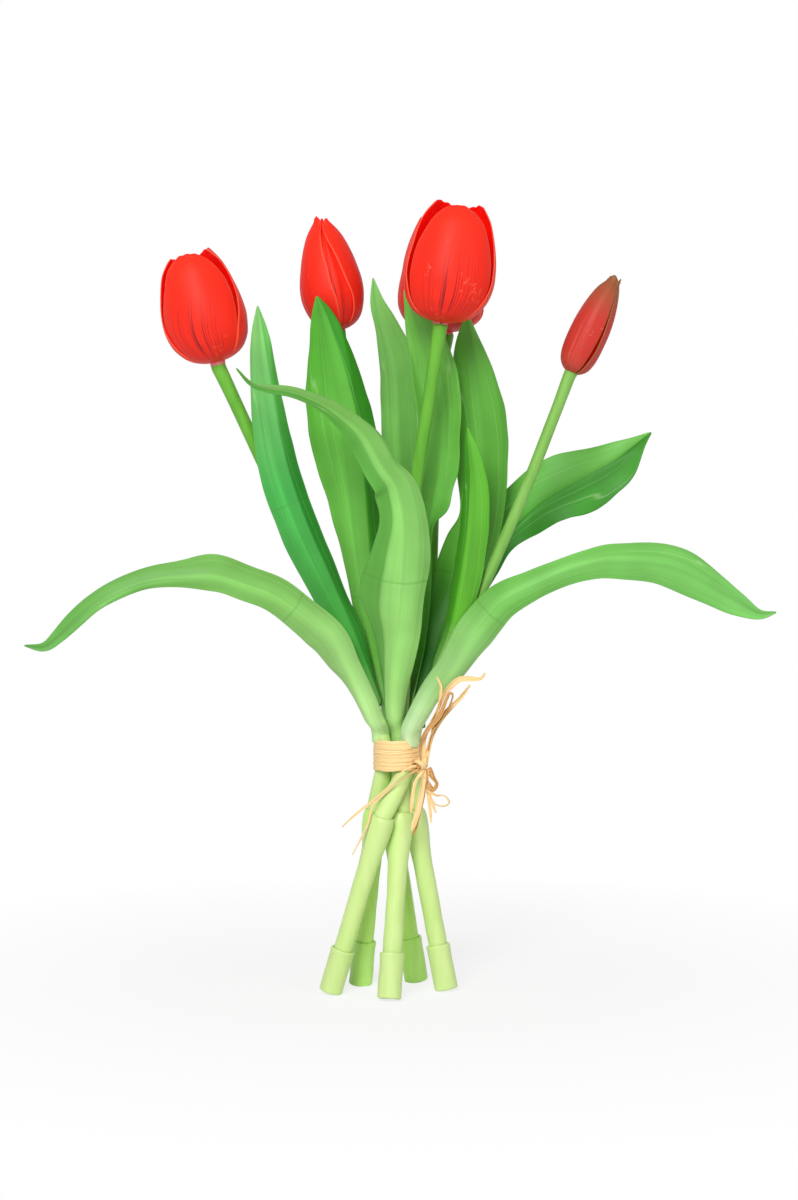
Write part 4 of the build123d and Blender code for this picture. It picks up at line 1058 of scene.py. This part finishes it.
def build_stem(name, tulip):
    node = node_point(tulip)
    low, high = waist_point(tulip, -TIE_HALF), waist_point(tulip, TIE_HALF)
    mouth = joint_point(f"{name}_stem_bend")
    base, axis, _, _ = bloom_frame(name)
    plug = node - (low - node).normalized() * PLUG_DEPTH * MM
    bends = [over_tie(point) for point in tulip["route"]]
    lead = base - axis * STEM_LEAD * MM
    line = Route([plug, node, low, high, mouth, *bends, lead, base])
    radius = tulip["stem_radius"]
    radii = [(NODE_HEIGHT - 5, 4.5), (NODE_HEIGHT + 6, 4.7), (TIE_HEIGHT - 12, 4.4),
             (TIE_HEIGHT - 4, 3.9), (TIE_HEIGHT + 8, 3.7), (TIE_HEIGHT + 32, 3.55),
             (TIE_HEIGHT + 70, radius),
             (base.z / MM - 20, radius), (base.z / MM, radius * 1.1)]

    def skin_radius(here, angle):
        ribbed = 1 + STEM_RIB_DEPTH * math.cos(STEM_RIBS * angle)
        ribbed += STEM_BUMP_DEPTH * noise.noise(here * STEM_BUMPS)
        return profile(radii, here.z / MM) * ribbed

    skin = tube_piece(f"{name}_stem_skin", line, around=28, along=150, radius=skin_radius)
    dress(skin, "green_stem", bud_stem if tulip["form"] == "bud" else green_stem)
    ahead = (bends[0] - mouth).normalized()
    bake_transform(skin)
    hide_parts(f"{name}_stalk", f"{name}_flower_stem")
    # The wire inside, from over the stalk's mouth to the peg that carries the bloom
    line = Route([mouth + ahead * WIRE_START * MM, *bends, lead, base + axis * WIRE_PEG * MM])
    wire = tube_piece(f"{name}_wire", line, around=12, along=80,
                      radius=lambda here, angle: WIRE_RADIUS)
    dress(wire, "stem_wire", wire_steel)
    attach(wire, f"{name}_stem")
    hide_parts(f"{name}_stem_wire")


# Blooms


def build_petal(name, tulip, ring, index, petal):
    base, axis, front, right = bloom_frame(name)
    belly, height = tulip["bloom"]
    wall = bloom_forms[tulip["form"]]
    starts = [(rise, start) for rise, start, _ in petal["edges"]]
    ends = [(rise, end) for rise, _, end in petal["edges"]]
    phase = index * 2.3 + belly

    def place(u, v):
        s = 2 * u - 1
        angle = profile(starts, v) * (1 - u) + profile(ends, v) * u + tulip["turn"]
        out = front * math.cos(math.radians(angle)) + right * math.sin(math.radians(angle))
        radius = profile(wall, v) * belly - petal["inset"] * smooth(v / 0.15)
        radius = max(radius, tulip["stem_radius"] * NECK_ROOM)
        flare = petal["flare"][0 if s < 0 else 1]
        radius += flare * abs(s) ** 4 * smooth((v - 0.05) / 0.3)
        fold = math.cos(PETAL_FOLDS * math.pi * s)
        radius += petal.get("ripple", 0.0) * fold * smooth(v / 0.3)
        radius += 0.3 * noise.noise(Vector((s * 2.2 + phase, v * 2.6, phase))) * smooth(v / 0.2)
        rise = height * v - petal["drop"] * v * v
        top = smooth((v - PETAL_TOP) / (1 - PETAL_TOP))
        rise -= height * petal["round"] * s * s * top
        rise += 0.8 * noise.noise(Vector((s * 2.5, phase, 0))) * top
        aside = right * tulip["aside"] * smooth(v / 0.3)
        return base + (axis * (rise + PETAL_LIFT) + out * radius + aside) * MM

    piece = shaped_sheet(f"{name}_{ring}_petal_{index + 1}", across=24, along=36, place=place)
    if tulip["form"] == "bud":
        dress(piece, "bud_petal", bud_outside, bud_inside)
    else:
        dress(piece, "petal", petal_outside, petal_inside)
    thicken(piece, PETAL_THICKNESS, inner_material=1)
    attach(piece, f"{name}_bloom")
    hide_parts(f"{name}_{ring}_petals")


def build_bloom(name, tulip):
    base, axis, _, _ = bloom_frame(name)
    for ring, group in petals[tulip["petals"]].items():
        for index, petal in enumerate(group):
            build_petal(name, tulip, ring, index, petal)
    radius = tulip["stem_radius"]
    neck = turned_piece(
        f"{name}_neck", base, axis,
        [(-1.4, radius * 0.9), (-1.0, radius * 1.04), (0.0, radius * 1.1), (1.2, radius * 1.14),
         (2.0, radius * 1.02), (6.0, 2.6), (12.6, 2.5), (13.0, 0.02)],
        around=32, along=50, wobble=0.5)
    dress(neck, "neck_pink", bud_stem if tulip["form"] == "bud" else neck_pink)
    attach(neck, f"{name}_bloom")
    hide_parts(f"{name}_receptacle")


# Leaves


def leaf_section(leaf, left, right, wrap, reach):
    """The points across a leaf at a share of its length, from edge to edge."""
    bend = math.radians(profile(wrap, reach))
    halves = (profile(left, reach), profile(right, reach))
    steps = LEAF_COLUMNS // 2
    points = [(0.0, 0.0)]
    for hand, half in zip((-1, 1), halves):
        x = y = 0.0
        edge = []
        for step in range(steps):
            s = (step + 0.5) / steps
            slope = bend * s
            for place, angle, first, last in leaf["creases"]:
                if place * hand > 0:
                    turn = smooth((s * half - abs(place)) / CREASE_WIDTH + 0.5)
                    turn *= smooth((reach - first) / CREASE_RUN)
                    turn *= smooth((last - reach) / CREASE_RUN)
                    slope += math.radians(angle) * turn
            x += hand * math.cos(slope) * half / steps
            y += math.sin(slope) * half / steps
            edge.append((x, y))
        points = edge[::-1] + points if hand < 0 else points + edge
    return points


def build_leaf(name, leaf):
    start = joint_point(f"{name}_bend")
    side = Vector((*leaf["side"], 0)).normalized()
    tucked = start - (UP * LEAF_TUCK + side * TUCK_INSET) * MM
    line = Route([tucked, start - side * START_INSET * MM,
                  *[over_tie(point) for point in leaf["route"]]])
    left = [(reach, half) for reach, half, _ in leaf["halves"]]
    right = [(reach, half) for reach, _, half in leaf["halves"]]
    full = CLASP_WRAP if left[0][1] > CLASP_BREADTH else SLIM_WRAP
    cup = leaf["cup"]
    wrap = [(0.0, full), (0.06, full * 0.9), (0.12, full * 0.72), (0.19, full * 0.45),
            (CLASP_END, cup * 1.3), (CLASP_END + 0.2, cup), (0.85, cup), (1.0, cup * 0.6)]
    twist = leaf.get("twist", UNTWISTED)
    own = Vector(leaf["hollow"]).normalized()
    phase = len(name) * 1.7
    sections = {}

    def place(u, v):
        here, ahead = line.at(v)
        hollow = (-side).lerp(own, smooth(v / TURN_END))
        hollow, _ = square_to(ahead, hollow)
        hollow = turned_by(hollow, ahead, profile(twist, v))
        across = hollow.cross(ahead)
        row = round(v * 1000)
        if row not in sections:
            sections[row] = leaf_section(leaf, left, right, wrap, v)
        x, y = sections[row][round(u * LEAF_COLUMNS)]
        s = 2 * u - 1
        x *= 1 + EDGE_NICKS * noise.noise(Vector((v * 16, phase, math.copysign(1, s))))
        swing = math.sin(2 * math.pi * leaf["waves"] * v + phase + (2.0 if s < 0 else 0.0))
        swing += 0.4 * noise.noise(Vector((v * 30, phase, math.copysign(2, s))))
        swing *= smooth((v - 0.15) / 0.2) * smooth((1 - v) / 0.1)
        y += leaf["wave"] * swing * abs(s) ** 3
        return here + (across * x + hollow * y) * MM

    piece = shaped_sheet(name + "_blade", across=LEAF_COLUMNS, along=100, place=place)
    dress(piece, "leaf", leaf_material(name + "_soft_plastic", leaf["greens"], leaf["seam"],
                                       leaf.get("painted_shade_planes")))
    thicken(piece, LEAF_THICKNESS)
    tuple(line.at(BEND_END)[0])
    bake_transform(piece)
    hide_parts(name)


# Raffia


def build_tie():
    turns = 2 * math.pi * TIE_TURNS

    def place(u, v):
        angle = math.radians(TIE_START) + turns * v
        out = Vector((math.cos(angle), math.sin(angle), 0))
        sag = TIE_SAG * (math.sin(angle + 0.6) + noise.noise(out * 2.2 + UP * v * 9))
        height = (v - 0.5) * TIE_TURNS * TIE_PITCH + (u - 0.5) * STRIP_WIDTH + sag
        crease = TIE_CREASE * noise.noise(Vector((u * 5, angle * 0.7, v * 3)))
        radius = TIE_RADIUS + STRIP_LAP * (1 - u) + crease
        return over_tie((out.x * radius, out.y * radius, height))

    strip = shaped_sheet("raffia_band", across=10, along=420, place=place)
    dress(strip, "raffia", raffia_tones["straw"])
    thicken(strip, RAFFIA_THICKNESS)
    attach(strip, "bunch")
    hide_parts("raffia_tie")


def build_knot():
    low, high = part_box("raffia_knot")
    middle = (low + high) / 2
    out = Vector((middle.x, middle.y, 0)).normalized()
    axis = turned_by(UP.cross(out), out, KNOT_TILT)

    def place(u, v):
        angle = 2 * math.pi * KNOT_TURNS * v
        across, other = square_to(axis, out)
        crease = KNOT_CREASE * noise.noise(Vector((u * 3, v * 6, 1)))
        radius = KNOT_RADIUS + KNOT_GROWTH * v + crease
        along = (u - 0.5) * KNOT_WIDTH + KNOT_SWAY * math.sin(angle * 0.5)
        direction = across * math.cos(angle) + other * math.sin(angle)
        return middle + (direction * radius + axis * along) * MM

    wrap = shaped_sheet("raffia_knot_wrap", across=8, along=90, place=place)
    dress(wrap, "raffia", raffia_tones["straw"])
    thicken(wrap, RAFFIA_THICKNESS)
    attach(wrap, "bunch")
    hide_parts("raffia_knot")
    # The core inside the knot in the browner raffia, partly painted shade under the wrap
    core = turned_piece("raffia_knot_core", middle, axis,
                        [(-2.8, 0.02), (-2.4, 1.4), (0.0, 2.1), (2.4, 1.4), (2.8, 0.02)],
                        around=24, along=24, wobble=0.4)
    dress(core, "raffia", raffia_tones["brown_and_shaded"])
    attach(core, "bunch")
    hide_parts("raffia_knot")


def build_end(node, index, strip):
    line = Route([seen(*point) for point in strip["seen"]])
    width = strip["width"]

    def place(u, v):
        here, ahead = line.at(v)
        face, _ = square_to(ahead, FRONT)
        face = turned_by(face, ahead, strip["twist"] * math.sin(v * 4 + index))
        across = ahead.cross(face)
        s = 2 * u - 1
        half = width / 2 * (1 + 0.25 * noise.noise(Vector((v * 5, index * 3.1, 0))))
        half *= 1 - END_LOSS * smooth((v - 1 + END_TAPER) / END_TAPER)
        hollow = END_HOLLOW * width * (s * s - 0.4)
        return here + (across * s * half + face * hollow) * MM

    piece = shaped_sheet(f"{node}_{index + 1}", across=6, along=70, place=place)
    dress(piece, "raffia", raffia_tones[strip["tone"]])
    thicken(piece, RAFFIA_THICKNESS)
    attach(piece, "bunch")
    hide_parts(node)


for name, tulip in tulips.items():
    build_leg(name, tulip)
    build_stem(name, tulip)
    build_bloom(name, tulip)
for name, leaf in leaves.items():
    build_leaf(name, leaf)
build_tie()
build_knot()
for node, strips in raffia_ends.items():
    for index, strip in enumerate(strips):
        build_end(node, index, strip)

# CAD pieces that show as they are, deep inside the blooms
# the bud's core takes the bud's inside, with its painted glow
kept = {"pistil": pistil_green, "bud_core": bud_inside}
for name, node in frame["nodes"].items():
    for ending, material in kept.items():
        if name.endswith(ending):
            node.data.materials.clear()
            node.data.materials.append(material)

# Floor: matte white paper that takes the shadow near the feet, fading to plain white far away
SHADOW_REACH = (100.0, 340.0)  # the fade starts and ends that far from the middle
NEAR_WHITE = 0.78  # share of plain white that is already there near the feet
bpy.ops.object.select_all(action="DESELECT")
bpy.ops.mesh.primitive_plane_add(size=30)
floor = bpy.context.object
floor.name = "floor"
material, tree, output = new_material("white_paper")
place = add(tree, "TexCoord", {}).outputs["Object"]
away = add(tree, "VectorMath", {0: place}, operation="LENGTH")
away = add(tree, "MapRange", {"Value": away.outputs["Value"], "To Min": NEAR_WHITE,
                              "From Min": SHADOW_REACH[0] * MM, "From Max": SHADOW_REACH[1] * MM})
fade = add(tree, "Math", {0: away.outputs[0], 1: looking(tree)}, operation="MULTIPLY")
paper = add(tree, "BsdfPrincipled", {"Base Color": colour("#FFFFFF"), "Roughness": 0.9,
                                     "Specular IOR Level": 0.1})
glow = add(tree, "Emission", {"Color": colour("#FFFFFF"), "Strength": 1.0})
mixed = add(tree, "MixShader", {0: fade.outputs[0], 1: paper.outputs[0], 2: glow.outputs[0]})
tree.links.new(mixed.outputs[0], output.inputs["Surface"])
floor.data.materials.append(material)

# White studio: even light from all round, a large soft light from the front left and a weak one
# from the right
ROOM_LIGHT = 0.3
world = bpy.data.worlds.new("studio")
bpy.context.scene.world = world
world.use_nodes = True
tree = world.node_tree
tree.nodes.clear()
level = add(tree, "MapRange", {"Value": looking(tree), "To Min": ROOM_LIGHT, "To Max": 1.0})
sky = add(tree, "Background", {"Color": colour("#FFFFFF"), "Strength": level.outputs[0]})
add(tree, "OutputWorld", {"Surface": sky.outputs[0]})

lights = {
    "key": {"place": (-0.45, -1.75, 1.3), "size": 0.8, "power": 31.0},
    "fill": {"place": (1.2, -1.2, 0.8), "size": 0.8, "power": 4.0},
}
middle = Vector((0, 0, LOOK_HEIGHT * MM))
for name, light in lights.items():
    lamp = bpy.data.lights.new(name, "AREA")
    lamp.energy = light["power"]
    lamp.size = light["size"]
    holder = bpy.data.objects.new(name, lamp)
    bpy.context.scene.collection.objects.link(holder)
    holder.location = light["place"]
    holder.rotation_euler = (middle - holder.location).to_track_quat("-Z", "Y").to_euler()

# Camera
lens = bpy.data.cameras.new("camera")
lens.lens = CAMERA_LENS
camera = bpy.data.objects.new("camera", lens)
bpy.context.scene.collection.objects.link(camera)
back = Vector((0, -math.cos(CAMERA_RISE), math.sin(CAMERA_RISE)))
camera.location = middle + back * CAMERA_DISTANCE * MM
aim = middle - UP * FRAME_DROP * MM
camera.rotation_euler = (aim - camera.location).to_track_quat("-Z", "Y").to_euler()
bpy.context.scene.camera = camera
bpy.context.scene.view_settings.view_transform = "Standard"
